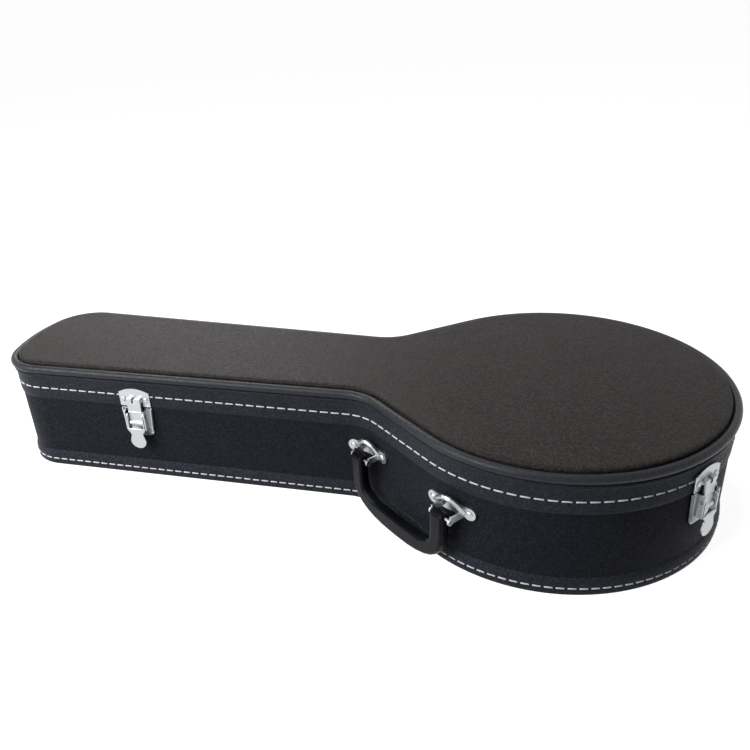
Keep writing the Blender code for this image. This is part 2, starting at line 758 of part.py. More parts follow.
def build_hinges(pivot):
    """Both hinges; returns the rivet holes for the base's wall and for the lid's."""
    lid_radius = BODY_RADIUS + LID_STANDS_PROUD
    web_rise = LEAF_TO_PARTING + KNUCKLE_RADIUS
    base_holes = []
    lid_holes = []
    for number, x in enumerate((-HINGE_SPACING / 2, HINGE_SPACING / 2), 1):
        first, middle, last = knuckle_spans(x)
        base_high = PARTING - LEAF_TO_PARTING
        base_leaf = curved_leaf(x, BODY_RADIUS + GAP, base_high - LEAF_HEIGHT, base_high)
        lid_low = PARTING + LEAF_TO_PARTING
        lid_leaf = curved_leaf(x, lid_radius + GAP, lid_low, lid_low + LEAF_HEIGHT)
        for span in (first, last):
            add_knuckle(base_leaf, span, BODY_RADIUS, -web_rise)
        add_knuckle(lid_leaf, middle, lid_radius, web_rise)
        add_stops(base_leaf, lid_leaf, middle)
        half = HINGE_WIDTH / 2
        bore = rod("pin_bore", (x - HINGE_WIDTH, HINGE_Y, PARTING),
                   (x + HINGE_WIDTH, HINGE_Y, PARTING), HINGE_PIN_RADIUS + PIN_FIT, 10)
        rivets_up = LEAF_HEIGHT * LEAF_RIVETS_UP
        base_holes += rivet_leaf(base_leaf, x, base_high - rivets_up, BODY_RADIUS,
                                 BOARD_IN + GAP)
        lid_holes += rivet_leaf(lid_leaf, x, lid_low + rivets_up, lid_radius,
                                LID_BOARD_IN - LID_STANDS_PROUD + GAP)
        for leaf in (base_leaf, lid_leaf):
            cut(leaf, [bore])
        make_part(base_leaf, "hinge_%d_base_leaf" % number, "chrome")
        make_part(lid_leaf, "hinge_%d_lid_leaf" % number, "chrome", pivot)
        pin = rod("pin", (x - half, HINGE_Y, PARTING), (x + half, HINGE_Y, PARTING),
                  HINGE_PIN_RADIUS, 10)
        make_part(pin, "hinge_%d_pin" % number, "steel")
    return base_holes, lid_holes


# Latches

def standing_plate(name, points, inner, outer, frame):
    """A flat outline in X and Z, between two distances out along the frame's Y."""
    upright = frame @ Matrix.Rotation(pi / 2, 4, "X")
    return as_mesh(outline_plate(name, points, -outer, -inner, upright))


def arc_points(centre, radius, start, end, steps):
    """Points on an arc, from one angle to another."""
    return [(centre[0] + radius * cos(start + (end - start) * step / steps),
             centre[1] + radius * sin(start + (end - start) * step / steps))
            for step in range(steps + 1)]


def catch_outline(low):
    """A plate with square lower corners and a round top, in X and Z."""
    half = CATCH_WIDTH / 2
    radius = (half * half + CATCH_ARCH * CATCH_ARCH) / (2 * CATCH_ARCH)
    centre = low + CATCH_HEIGHT + CATCH_ARCH - radius
    sweep = asin(half / radius)
    top = arc_points((0, centre), radius, pi / 2 - sweep, pi / 2 + sweep, 8)
    return [(-half, low), (half, low)] + top


def plate_outline(low, high):
    """The lower plate, which tapers down to its round lower corners, in X and Z."""
    half = LATCH_WIDTH / 2
    foot = LATCH_FOOT_WIDTH / 2
    corner = LATCH_PLATE_CORNER
    left = arc_points((-foot + corner, low + corner), corner, pi, 1.5 * pi, 5)
    right = arc_points((foot - corner, low + corner), corner, 1.5 * pi, 2 * pi, 5)
    return [(half, high), (-half, high)] + left + right


def rim_outline(side, low, high):
    """A rim along one slanting edge of the lower plate, in X and Z."""
    top = LATCH_WIDTH / 2 - INSET
    foot = LATCH_FOOT_WIDTH / 2 - INSET
    bottom = low + LATCH_PLATE_CORNER
    points = [(top, high), (top - LATCH_RIM_WIDTH, high), (foot - LATCH_RIM_WIDTH, bottom),
              (foot, bottom)]
    return [(side * x, z) for x, z in points]


def lever_outline(half_width):
    """The lever's face: wide shoulders, a drawn-in waist and a round thumb tab."""
    top = PIVOT_Z - LEVER_TOP_BELOW
    end = PIVOT_Z - LEVER_END_BELOW
    waist = TAB_WAIST / 2
    tab = TAB_WIDTH / 2
    depth = top - end
    shoulder = top - SHOULDER_BELOW * depth
    waist_z = top - WAIST_BELOW * depth
    tab_z = end + tab
    side = [(half_width, top), (half_width, shoulder),
            ((half_width + waist) / 2 - WAIST_DRAW * waist, (shoulder + waist_z) / 2),
            (waist, waist_z), ((waist + tab) / 2, (waist_z + tab_z) / 2)]
    tip = arc_points((0, tab_z), tab, 0, -pi, 9)
    mirrored = [(-x, z) for x, z in reversed(side)]
    return side + tip + mirrored


def build_catch(name, frame, pivot):
    """The lid's plate with the keeper; returns the holes for its rivets."""
    low = LID_BOTTOM + CATCH_RISE
    plate = standing_plate("catch", catch_outline(low), LID_STANDS_PROUD + GAP, CATCH_FACE,
                           frame)
    half = CLAW_WIDTH / 2
    keeper = block("keeper", (-half, CATCH_FACE - LATCH_PLATE / 2, KEEPER_TOP - KEEPER_HEIGHT),
                   (half, KEEPER_FACE, KEEPER_TOP), frame)
    join(plate, [keeper])
    out = CATCH_WIDTH * CATCH_RIVETS_OUT
    holes = [add_rivet("%s_catch_rivet_%s" % (name, word), frame, side * out,
                       low + CATCH_HEIGHT * CATCH_RIVETS_UP, CATCH_FACE, LID_BOARD_IN + GAP,
                       pivot)
             for side, word in ((-1, "right"), (1, "left"))]
    cut(plate, holes)
    make_part(plate, name + "_catch_plate", "chrome", pivot)
    return holes


def build_latch_plate(name, frame):
    """The base's plate with its cheeks and pivot pins; returns the holes for its rivets."""
    high = BASE_HEIGHT - GAP
    low = high - LATCH_PLATE_HEIGHT
    plate = standing_plate("latch_plate", plate_outline(low, high), GAP, PLATE_FACE, frame)
    inside = PLATE_FACE - LATCH_PLATE / 2
    cheek_inner = CHEEK_SPACING / 2
    cheek_outer = cheek_inner + CHEEK_THICKNESS
    ribs = []
    for side in (-1, 1):
        start, end = sorted((side * cheek_inner, side * cheek_outer))
        ribs.append(block("cheek", (start, inside, high - CHEEK_HEIGHT),
                          (end, PLATE_FACE + CHEEK_DEPTH, high - GAP), frame))
        ribs.append(standing_plate("rim", rim_outline(side, low, high - GAP), inside,
                                   PLATE_FACE + LATCH_RIM_RISE, frame))
    join(plate, ribs)
    bore = rod("pivot_bore", (-LATCH_WIDTH, PIVOT_OUT, PIVOT_Z),
               (LATCH_WIDTH, PIVOT_OUT, PIVOT_Z), PIVOT_PIN_RADIUS + PIN_FIT, 12, frame)
    holes = [add_rivet("%s_plate_rivet_%s" % (name, word), frame, 0,
                       low + share * LATCH_PLATE_HEIGHT, PLATE_FACE, BOARD_IN + GAP)
             for word, share in PLATE_RIVETS]
    cut(plate, [bore] + holes)
    make_part(plate, name + "_base_plate", "chrome")

    pin_inner = cheek_inner - SLIDE - EAR_THICKNESS
    for side, word in ((-1, "right"), (1, "left")):
        pin = rod("pin", (side * pin_inner, PIVOT_OUT, PIVOT_Z),
                  (side * cheek_outer, PIVOT_OUT, PIVOT_Z), PIVOT_PIN_RADIUS, 12, frame)
        make_part(pin, "%s_pivot_pin_%s" % (name, word), "steel")
    return holes


def build_lever(name, frame, pivot):
    ear_outer = CHEEK_SPACING / 2 - SLIDE
    ear_inner = ear_outer - EAR_THICKNESS
    eye = PIVOT_PIN_RADIUS + EYE_WALL
    top = PIVOT_Z - LEVER_TOP_BELOW
    face_back = LEVER_FACE - LEVER_THICKNESS
    lever = standing_plate("lever", lever_outline(ear_outer), face_back, LEVER_FACE, frame)
    ridge = rod("ridge", (-TAB_WAIST / 2, LEVER_FACE - CREASE_RADIUS, top - CREASE_RADIUS / 2),
                (TAB_WAIST / 2, LEVER_FACE - CREASE_RADIUS, top - CREASE_RADIUS / 2),
                CREASE_RADIUS * LEVER_RIDGE, 12, frame)
    ears = [ridge]
    for side in (-1, 1):
        start, end = sorted((side * ear_inner, side * (ear_outer - INSET)))
        ears.append(block("ear", (start, PIVOT_OUT - eye * 0.8, top - EYE_WALL),
                          (end, face_back + LEVER_THICKNESS / 2, PIVOT_Z - eye / 2), frame))
        ears.append(rod("ear_end", (start, PIVOT_OUT, PIVOT_Z), (end, PIVOT_OUT, PIVOT_Z), eye,
                        12, frame))
    join(lever, ears)
    cutters = []
    for radius, out, height in ((PIVOT_PIN_RADIUS, PIVOT_OUT, PIVOT_Z),
                                (CLAW_PIN_RADIUS, CLAW_PIN_OUT, CLAW_PIN_Z)):
        cutters.append(rod("bore", (-LATCH_WIDTH, out, height), (LATCH_WIDTH, out, height),
                           radius + PIN_FIT, 12, frame))
    cut(lever, cutters)
    make_part(lever, name + "_lever", "chrome", pivot)
    pin = rod("claw_pin", (-ear_outer, CLAW_PIN_OUT, CLAW_PIN_Z),
              (ear_outer, CLAW_PIN_OUT, CLAW_PIN_Z), CLAW_PIN_RADIUS, 12, frame)
    make_part(pin, name + "_claw_pin", "steel", pivot)


def build_claw(name, frame, pivot):
    half = CLAW_WIDTH / 2
    inset = 2 * INSET
    claw = block("claw", (-half, CLAW_BACK, CLAW_PIN_Z - CLAW_TAIL),
                 (half, CLAW_FACE, HOOK_TOP), frame)
    eye = rod("eye", (-half + inset, CLAW_PIN_OUT, CLAW_PIN_Z),
              (half - inset, CLAW_PIN_OUT, CLAW_PIN_Z), CLAW_PIN_RADIUS + EYE_WALL, 16, frame)
    hook = block("hook", (-half + inset, CATCH_FACE + GAP, HOOK_TOP - CLAW_THICKNESS),
                 (half - inset, CLAW_FACE - inset, HOOK_TOP - inset), frame)
    ridge_z = CLAW_PIN_Z + CREASE_UP
    ridge_out = CLAW_FACE - CREASE_RADIUS / 2
    ridge = rod("ridge", (-half + inset, ridge_out, ridge_z), (half - inset, ridge_out, ridge_z),
                CREASE_RADIUS, 12, frame)
    join(claw, [eye, hook, ridge])
    gap = block("finger_gap", (-FINGER_GAP / 2, 0, HOOK_TOP - 3 * CLAW_THICKNESS),
                (FINGER_GAP / 2, 2 * CLAW_FACE, HOOK_TOP + CLAW_THICKNESS), frame)
    bore = rod("eye_bore", (-LATCH_WIDTH, CLAW_PIN_OUT, CLAW_PIN_Z),
               (LATCH_WIDTH, CLAW_PIN_OUT, CLAW_PIN_Z), CLAW_PIN_RADIUS + PIN_FIT, 12, frame)
    cut(claw, [gap, bore])
    make_part(claw, name + "_claw", "chrome", pivot)


def build_latches(lid_pivot):
    """Both latches; returns the rivet holes for the base's wall and for the lid's."""
    base_holes = []
    lid_holes = []
    places = (("latch_neck", LATCH_NECK_X), ("latch_body", BODY_RADIUS * cos(LATCH_BODY_ANGLE)))
    for name, x in places:
        frame = wall_frame(*wall_at(x))
        lid_holes += build_catch(name, frame, lid_pivot)
        base_holes += build_latch_plate(name, frame)
        lever_place = frame @ Matrix.Translation((0, PIVOT_OUT, PIVOT_Z))
        lever_pivot = add_pivot(name + "_lever_axis", lever_place)
        build_lever(name, frame, lever_pivot)
        claw_place = frame @ Matrix.Translation((0, CLAW_PIN_OUT, CLAW_PIN_Z))
        claw_pivot = add_pivot(name + "_claw_axis", claw_place)
        claw_pivot.parent = lever_pivot
        claw_pivot.matrix_parent_inverse = lever_place.inverted()
        build_claw(name, frame, claw_pivot)
        report_axis(name + "_lever", lever_place)
        report_axis(name + "_claw", claw_place)
    return base_holes, lid_holes


# Handle

def bracket_pivot(x):
    point, normal = wall_at(x)
    place = point + normal * HANDLE_STANDOFF
    return Vector((place.x, place.y, HANDLE_AXIS_HEIGHT))


def handle_frame():
    """Axes of the handle (X along its pivots, Y towards the case, Z up) and its span."""
    start = bracket_pivot(BRACKET_NECK_X)
    along = bracket_pivot(BRACKET_BODY_X) - start
    span = along.length
    along.normalize()
    up = Vector((0, 0, 1))
    rotation = Matrix((along, up.cross(along), up)).transposed().to_4x4()
    return Matrix.Translation(start) @ rotation, span


def strap_points(x):
    """The bracket's strap, arched upwards and outwards between its feet."""
    middle, middle_normal = wall_at(x)
    crown = middle + middle_normal * STRAP_OUT
    crown = Vector((crown.x, crown.y, BRACKET_HEIGHT + STRAP_RISE))
    ends = []
    for side in (-1, 1):
        reach = side * (FOOT_SPACING / 2 - RIVET_HEAD - STRAP_RADIUS * 0.9)
        point, normal = wall_along(x, reach)
        rise = hollow_rise(x, reach, FOOT_RADIUS)
        seat = point + normal * (rise + 2 * GAP + STRAP_RADIUS)
        ends.append(Vector((seat.x, seat.y, BRACKET_HEIGHT)))
    lift = crown - (ends[0] + ends[1]) / 2
    shares = [step / STRAP_STEPS for step in range(STRAP_STEPS + 1)]
    return [ends[0].lerp(ends[1], share) + lift * sin(pi * share) ** STRAP_FULLNESS
            for share in shares]


def lug_reach(swing, local_x):
    """From the pivots' line to the middle of the back plate, along the handle's Y."""
    ring = outline(2 * GAP + BACK_PLATE / 2)
    start = (swing @ Vector((local_x, 0, 0))).xy
    end = (swing @ Vector((local_x, 2 * HANDLE_STANDOFF, 0))).xy
    hits = [intersect_line_line_2d(start, end, p, q) for p, q in zip(ring, ring[1:])]
    return min((hit - start).length for hit in hits if hit)


def wall_plate(name, x, half_length, low, high):
    """A thin plate that follows the wall at x, from low to high."""
    stations = [wall_along(x, half_length * step / 4) for step in range(-4, 5)]
    back = [tuple(point + normal * 2 * GAP) for point, normal in stations]
    front = [tuple(point + normal * (2 * GAP + BACK_PLATE)) for point, normal in stations]
    return as_mesh(outline_plate(name, back + front[::-1], low, high))


def build_bracket(name, x, swing, local_x):
    """A strap over a back plate with two riveted feet and two lugs for the handle's pin;
    returns the holes for its rivets."""
    curve = bpy.data.curves.new("strap", "CURVE")
    curve.dimensions = "3D"
    curve.bevel_depth = STRAP_RADIUS
    curve.bevel_resolution = 2
    curve.use_fill_caps = True
    spline = curve.splines.new("POLY")
    path = strap_points(x)
    spline.points.add(len(path) - 1)
    for point, place in zip(spline.points, path):
        point.co = (*place, 1)
    strap = as_mesh(add_object("strap", curve))

    height = BRACKET_HEIGHT
    half_height = BACK_PLATE_HEIGHT / 2
    pieces = [wall_plate("back_plate", x, FOOT_SPACING / 2 + BACK_PLATE_END,
                         height - half_height, height + half_height)]
    holes = []
    for side, word in ((-1, "near_neck"), (1, "near_body")):
        reach = side * FOOT_SPACING / 2
        frame = wall_frame(*wall_along(x, reach))
        clear = GAP + hollow_rise(x, reach, FOOT_RADIUS)
        face = clear + FOOT_THICKNESS
        pieces.append(rod("foot", (0, clear, height), (0, face, height), FOOT_RADIUS, 16, frame))
        holes.append(add_rivet("%s_rivet_%s" % (name, word), frame, 0, height, face,
                               BOARD_IN + GAP))
    eye = HANDLE_PIN_RADIUS + EYE_WALL
    for side in (-1, 1):
        start, end = sorted(side * edge for edge in (LUG_SPACING / 2,
                                                     LUG_SPACING / 2 + LUG_THICKNESS))
        reach = lug_reach(swing, local_x + (start + end) / 2)
        pieces.append(rod("lug_eye", (local_x + start, 0, 0), (local_x + end, 0, 0), eye, 12,
                          swing))
        pieces.append(block("lug", (local_x + start + INSET, 0, -eye / 2),
                            (local_x + end - INSET, reach, PIVOT_BELOW_RIVETS + eye / 2),
                            swing))
    join(strap, pieces)
    bore = rod("pin_bore", (local_x - 2 * LUG_SPACING, 0, 0), (local_x + 2 * LUG_SPACING, 0, 0),
               HANDLE_PIN_RADIUS + PIN_FIT, 12, swing)
    cut(strap, [bore] + holes)
    make_part(strap, name, "chrome")
    return holes


def superellipse_side(half_width, top, bottom, power, steps):
    """The lower half of a superellipse from its left side to its right side, in X and Z."""
    points = []
    for step in range(steps + 1):
        angle = pi + pi * step / steps
        c = cos(angle)
        s = sin(angle)
        x = half_width * (abs(c) ** (2 / power)) * (1 if c > 0 else -1)
        z = top - (top - bottom) * abs(s) ** (2 / power)
        points.append((x, z))
    return points


def build_grip(swing, span, pivot):
    half = span / 2
    outside = half + LEG_WIDTH / 2
    inside = half - LEG_WIDTH / 2
    outer = superellipse_side(outside, -SHOULDER, -HANDLE_REACH, OUTER_SQUARENESS, 16)
    inner = superellipse_side(inside, -SHOULDER, GRIP_HEIGHT - HANDLE_REACH, INNER_SQUARENESS,
                              14)
    points = [(-outside, LEG_RISE)] + outer + [(outside, LEG_RISE), (inside, LEG_RISE)]
    points += list(reversed(inner)) + [(-inside, LEG_RISE)]
    centre = swing @ Matrix.Translation((half - HANDLE_SLIDE, 0, 0))
    depth = GRIP_THICKNESS / 2
    grip = standing_plate("grip", points, -depth, depth, centre)
    bevel = grip.modifiers.new("edges", "BEVEL")
    bevel.width = HANDLE_EDGE
    bevel.segments = 3
    bevel.limit_method = "ANGLE"
    bevel.angle_limit = radians(60)
    bevel.use_clamp_overlap = False
    cutters = []
    slot_half = LINK_WIDTH / 2 + GAP
    slot_depth = LINK_THICKNESS / 2 + GAP
    eye_half = LINK_EYE_WIDTH / 2 + GAP
    for x in (-HANDLE_SLIDE, span - HANDLE_SLIDE):
        cutters.append(block("slot", (x - slot_half, -slot_depth, -LINK_LENGTH - GAP),
                             (x + slot_half, slot_depth, 0), swing))
        cutters.append(rod("eye_space", (x - eye_half, 0, 0), (x + eye_half, 0, 0),
                           link_eye_radius() + GAP, 16, swing))
        cutters.append(rod("pin_bore", (x - LEG_WIDTH, 0, 0), (x + LEG_WIDTH, 0, 0),
                           HANDLE_PIN_RADIUS + PIN_FIT, 12, swing))
    cut(grip, cutters)
    smooth(grip)
    make_part(grip, "handle_grip", "handle", pivot)


def link_eye_radius():
    return HANDLE_PIN_RADIUS + LINK_EYE_WALL


def build_link(name, swing, local_x, pivot):
    """A steel plate that the leg is moulded round, with an eye round the pin."""
    top = LINK_TOP_WIDTH / 2
    half = LINK_WIDTH / 2
    points = [(top, 0), (-top, 0), (-half, -LINK_LENGTH), (half, -LINK_LENGTH)]
    place = swing @ Matrix.Translation((local_x, 0, 0))
    depth = LINK_THICKNESS / 2
    link = standing_plate("link", points, -depth, depth, place)
    eye_half = LINK_EYE_WIDTH / 2
    eye = rod("link_eye", (-eye_half, 0, 0), (eye_half, 0, 0), link_eye_radius(), 16, place)
    join(link, [eye])
    bore = rod("link_bore", (-LINK_WIDTH, 0, 0), (LINK_WIDTH, 0, 0),
               HANDLE_PIN_RADIUS + PIN_FIT, 12, place)
    cut(link, [bore])
    make_part(link, name, "chrome", pivot)


def build_handle():
    """The handle and its brackets; returns the rivet holes for the base's wall."""
    swing, span = handle_frame()
    pivot = add_pivot("handle_axis", swing)
    report_axis("handle_swing", swing)
    build_grip(swing, span, pivot)
    holes = []
    for end, x, local_x in (("neck", BRACKET_NECK_X, 0.0), ("body", BRACKET_BODY_X, span)):
        holes += build_bracket("handle_bracket_" + end, x, swing, local_x)
        reach = LUG_SPACING / 2 + LUG_THICKNESS
        pin = rod("handle_pin", (local_x - reach, 0, 0), (local_x + reach, 0, 0),
                  HANDLE_PIN_RADIUS, 12, swing)
        make_part(pin, "handle_pin_" + end, "steel")
        build_link("handle_link_" + end, swing, local_x - HANDLE_SLIDE, pivot)
    return holes


def report_axis(name, frame):
    """Print where a joint's axis is, in metres, and its direction along the frame's X."""
    place = frame.translation
    axis = frame.to_3x3().col[0]
    print("axis", name, [round(v, 6) for v in place], [round(v, 6) for v in axis])


def build_case():
    lid_place = Matrix.Translation((0, HINGE_Y, PARTING))
    lid_pivot = add_pivot("lid_axis", lid_place)
    report_axis("lid_hinge", lid_place)
    base_side, base_cover = build_base_shell()
    lid_side, lid_cover = build_lid_shell(lid_pivot)
    build_piping(lid_pivot)
    build_linings(lid_pivot)
    build_neck_rests()

    hinge_base_holes, hinge_lid_holes = build_hinges(lid_pivot)
    latch_base_holes, latch_lid_holes = build_latches(lid_pivot)
    bracket_holes = build_handle()
    base_holes = hinge_base_holes + latch_base_holes + bracket_holes
    lid_holes = hinge_lid_holes + latch_lid_holes
    for board, name, material, holes, parent in (
            (base_side, "base_side_board", "board", base_holes, None),
            (base_cover, "base_side_covering", "side", base_holes, None),
            (lid_side, "lid_side_board", "board", lid_holes, lid_pivot),
            (lid_cover, "lid_side_covering", "side", lid_holes, lid_pivot)):
        cut(board, holes)
        make_part(board, name, material, parent)


build_case()
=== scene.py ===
# %% [markdown]
# A shaped hard case for a round-bodied mandolin, shut. The real case is a plywood box and lid with
# dark imitation leather glued over it, white seams sewn along the lid and along the foot, a rolled
# bead round the lid's top, two plated draw latches and a moulded handle.
#
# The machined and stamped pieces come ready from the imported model. Everything soft, which is the
# covering, the seams and the plush inside, is made here, because its look depends on rounded
# edges, thread and grain that the plain solids don't have.

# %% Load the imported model
from math import atan2, ceil, cos, degrees, pi, radians, sin, sqrt, tan

import bpy
from mathutils import Matrix, Vector


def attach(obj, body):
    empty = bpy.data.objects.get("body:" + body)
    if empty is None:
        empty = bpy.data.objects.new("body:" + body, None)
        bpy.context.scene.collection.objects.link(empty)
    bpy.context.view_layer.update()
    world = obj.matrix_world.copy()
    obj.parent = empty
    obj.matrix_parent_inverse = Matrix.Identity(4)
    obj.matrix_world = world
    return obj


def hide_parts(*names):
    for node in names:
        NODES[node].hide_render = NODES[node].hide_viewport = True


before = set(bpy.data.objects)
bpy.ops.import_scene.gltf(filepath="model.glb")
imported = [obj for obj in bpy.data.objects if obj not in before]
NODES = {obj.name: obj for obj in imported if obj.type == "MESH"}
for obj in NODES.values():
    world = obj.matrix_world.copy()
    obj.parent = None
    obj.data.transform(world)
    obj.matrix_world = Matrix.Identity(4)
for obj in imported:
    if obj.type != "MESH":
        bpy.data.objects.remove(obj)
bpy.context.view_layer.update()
bpy.ops.object.select_all(action="DESELECT")
MM = 0.001

# %% [markdown]
# The camera stands where the photographer stood: about 0.8 m from the case, a little to the right
# of the round body, looking down and to the left, with the camera tilted slightly. The place was
# worked out from the outline of the lid and the two seams.

# %% Place the camera
FRAME_PIXELS = 750
FOCAL_PIXELS = 771.1
SENSOR = 36.0
CAMERA_PLACE = Vector((0.0113, -0.6537, 0.4623))
CAMERA_DOWN = radians(27.66)
CAMERA_LEFT = radians(16.02)
CAMERA_TILT = radians(2.49)

ahead = Vector((-sin(CAMERA_LEFT) * cos(CAMERA_DOWN), cos(CAMERA_LEFT) * cos(CAMERA_DOWN),
                -sin(CAMERA_DOWN)))
level = Vector((cos(CAMERA_LEFT), sin(CAMERA_LEFT), 0))
upright = level.cross(ahead)
right = level * cos(CAMERA_TILT) - upright * sin(CAMERA_TILT)
above = level * sin(CAMERA_TILT) + upright * cos(CAMERA_TILT)

camera = bpy.data.objects.new("camera", bpy.data.cameras.new("camera"))
bpy.context.scene.collection.objects.link(camera)
camera.data.sensor_width = SENSOR
camera.data.lens = FOCAL_PIXELS / FRAME_PIXELS * SENSOR
camera.matrix_world = (Matrix.Translation(CAMERA_PLACE)
                       @ Matrix((right, above, -ahead)).transposed().to_4x4())
bpy.context.scene.camera = camera
print("lens", round(camera.data.lens, 2), "mm")

# %% [markdown]
# One function turns a written colour into the linear light that shaders work in, and one adds a
# node with its settings and links. Every finish below is built with these two: it starts from an
# empty material, and ends with its shader.

# %% Colour and node helpers
def from_hex(code):
    """An sRGB hex colour as linear red, green, blue and alpha."""
    values = [int(code[i:i + 2], 16) / 255 for i in (1, 3, 5)]
    linear = [v / 12.92 if v <= 0.04045 else ((v + 0.055) / 1.055) ** 2.4 for v in values]
    return (*linear, 1.0)


def add_node(tree, kind, settings=(), links=()):
    """A new node. Settings are its properties and unlinked sockets, and under "Steps" the two
    (position, hex colour) pairs of a colour ramp. Links are its linked sockets."""
    node = tree.nodes.new(kind)
    for name, value in dict(settings).items():
        if name == "Steps":
            for point, (position, code) in zip(node.color_ramp.elements, value):
                point.position = position
                point.color = from_hex(code)
        elif isinstance(name, str) and hasattr(node, name):
            setattr(node, name, value)
        else:
            node.inputs[name].default_value = value
    for name, source in dict(links).items():
        tree.links.new(source, node.inputs[name])
    return node


def start_finish(name):
    """An empty material, and the tree to build it on."""
    material = bpy.data.materials.new(name)
    material.use_nodes = True
    material.node_tree.nodes.clear()
    return material, material.node_tree


def end_finish(material, settings, links):
    """Close a material with its shader, and return it."""
    tree = material.node_tree
    shader = add_node(tree, "ShaderNodeBsdfPrincipled", settings, links)
    add_node(tree, "ShaderNodeOutputMaterial", links={"Surface": shader.outputs[0]})
    return material


def plate_finish(piece, material):
    """Give a piece this one material."""
    piece.data.materials.clear()
    piece.data.materials.append(material)


WHITE = from_hex("#ffffff")
print("a written middle grey is", round(from_hex("#808080")[0], 3), "of white in linear light")

# %% [markdown]
# Imitation leather is PVC on a woven cotton back, pressed between rollers while it is warm, which
# leaves pebbles about a millimetre across with narrow valleys between them. The pebbles are a
# Voronoi pattern: the distance to the cell edges gives the valleys, and each pebble has a shade of
# its own. They are drawn somewhat larger than life, because at a distance of 0.8 m a real pebble is
# smaller than a pixel. A noise bends them out of line, and a faint slow one stands for handling and
# for the board underneath. The lid's top has the coarsest grain, and the bead is the glossiest,
# because its covering is drawn tight round a cord. The gloss level is far below PVC's usual one:
# this studio is white all round, and at the usual level it would lay a grey veil on the leather.

# %% Imitation leather
HANDLING_WIDTH = 62 * MM
HANDLING_RISE = 0.8 * MM
HANDLING_SHADE = 0.25
CRUMPLES_PER_PEBBLE = 0.35
CRUMPLE_PULL = 1.5
VALLEY_WIDTH = 0.25
PEBBLE_GLOSS = 0.06


def leatherette(name, dark, light, pebble, depth, roughness, gloss_level):
    """Embossed PVC in two shades; pebble is the grain's width and depth its height."""
    material, tree = start_finish(name)
    place = add_node(tree, "ShaderNodeTexCoord").outputs["Object"]
    slow = add_node(tree, "ShaderNodeTexNoise", {"Scale": 1 / HANDLING_WIDTH, "Detail": 3.0},
                    {"Vector": place})
    crumple = add_node(tree, "ShaderNodeTexNoise",
                       {"Scale": CRUMPLES_PER_PEBBLE / pebble, "Detail": 2.0}, {"Vector": place})
    bend = add_node(tree, "ShaderNodeVectorMath",
                    {"operation": "SCALE", "Scale": pebble * CRUMPLE_PULL},
                    {0: crumple.outputs["Color"]})
    bent = add_node(tree, "ShaderNodeVectorMath", {"operation": "ADD"},
                    {0: place, 1: bend.outputs[0]}).outputs[0]
    edges = add_node(tree, "ShaderNodeTexVoronoi",
                     {"feature": "DISTANCE_TO_EDGE", "Scale": 1 / pebble}, {"Vector": bent})
    pebbles = add_node(tree, "ShaderNodeTexVoronoi", {"Scale": 1 / pebble}, {"Vector": bent})
    # The valleys also darken the colour: painted shade, for the light that falls less into them.
    valley = add_node(tree, "ShaderNodeMapRange", {"From Max": VALLEY_WIDTH},
                      {0: edges.outputs["Distance"]})
    shade = add_node(tree, "ShaderNodeSeparateColor", links={0: pebbles.outputs["Color"]})
    raised = add_node(tree, "ShaderNodeMath", {"operation": "MULTIPLY"},
                      {0: valley.outputs[0], 1: shade.outputs[0]})
    tone = add_node(tree, "ShaderNodeMath", {"operation": "MULTIPLY_ADD", 1: HANDLING_SHADE},
                    {0: slow.outputs["Fac"], 2: raised.outputs[0]})
    colour = add_node(tree, "ShaderNodeValToRGB", {"Steps": [(0.1, dark), (1.0, light)]},
                      {"Fac": tone.outputs[0]})
    gloss = add_node(tree, "ShaderNodeMapRange",
                     {"To Min": roughness + PEBBLE_GLOSS, "To Max": roughness - PEBBLE_GLOSS},
                     {0: shade.outputs[1]})
    wave = add_node(tree, "ShaderNodeBump", {"Strength": 0.25, "Distance": HANDLING_RISE},
                    {"Height": slow.outputs["Fac"]})
    grain = add_node(tree, "ShaderNodeBump", {"Strength": 1.0, "Distance": depth},
                     {"Height": raised.outputs[0], "Normal": wave.outputs[0]})
    return end_finish(material, {"Specular IOR Level": gloss_level},
                      {"Base Color": colour.outputs["Color"], "Roughness": gloss.outputs[0],
                       "Normal": grain.outputs[0]})


TOP_LEATHER = leatherette("embossed_pvc_top", "#1d1919", "#3d3737",
                          1.6 * MM, 0.26 * MM, 0.46, 0.08)
SIDE_LEATHER = leatherette("embossed_pvc_side", "#15161b", "#292b33",
                           1.4 * MM, 0.18 * MM, 0.50, 0.04)
# The trim is the wall's leather painted lighter: painted light, for the light that the lid's strip
# and the foot's roll catch more than the wall.
TRIM_LEATHER_PAINTED_LIGHTER = leatherette("embossed_pvc_trim_painted_lighter", "#1e2026", "#383b43",
                           1.4 * MM, 0.18 * MM, 0.48, 0.06)
BEAD_LEATHER = leatherette("embossed_pvc_bead", "#13151a", "#282b33",
                           1.2 * MM, 0.12 * MM, 0.36, 0.22)
print("leathers", [m.name for m in (TOP_LEATHER, SIDE_LEATHER, TRIM_LEATHER_PAINTED_LIGHTER, BEAD_LEATHER)])

# %% [markdown]
# The latches, brackets and hinges are stamped steel with bright chromium plate, and the pins are
# plain drawn steel. Plate is nearly a mirror, so its look is what it reflects: a slow wave, left
# by the stamping, bends the reflections, and faint finger marks change the gloss from place to
# place. The scale of each pattern, here and below, is one over the real width of what it shows.

# %% Plated and plain metal
FINGER_MARK = 5.5 * MM
STAMPING_WAVE = 11 * MM
NOISE_RANGE = {"From Min": 0.3, "From Max": 0.7}


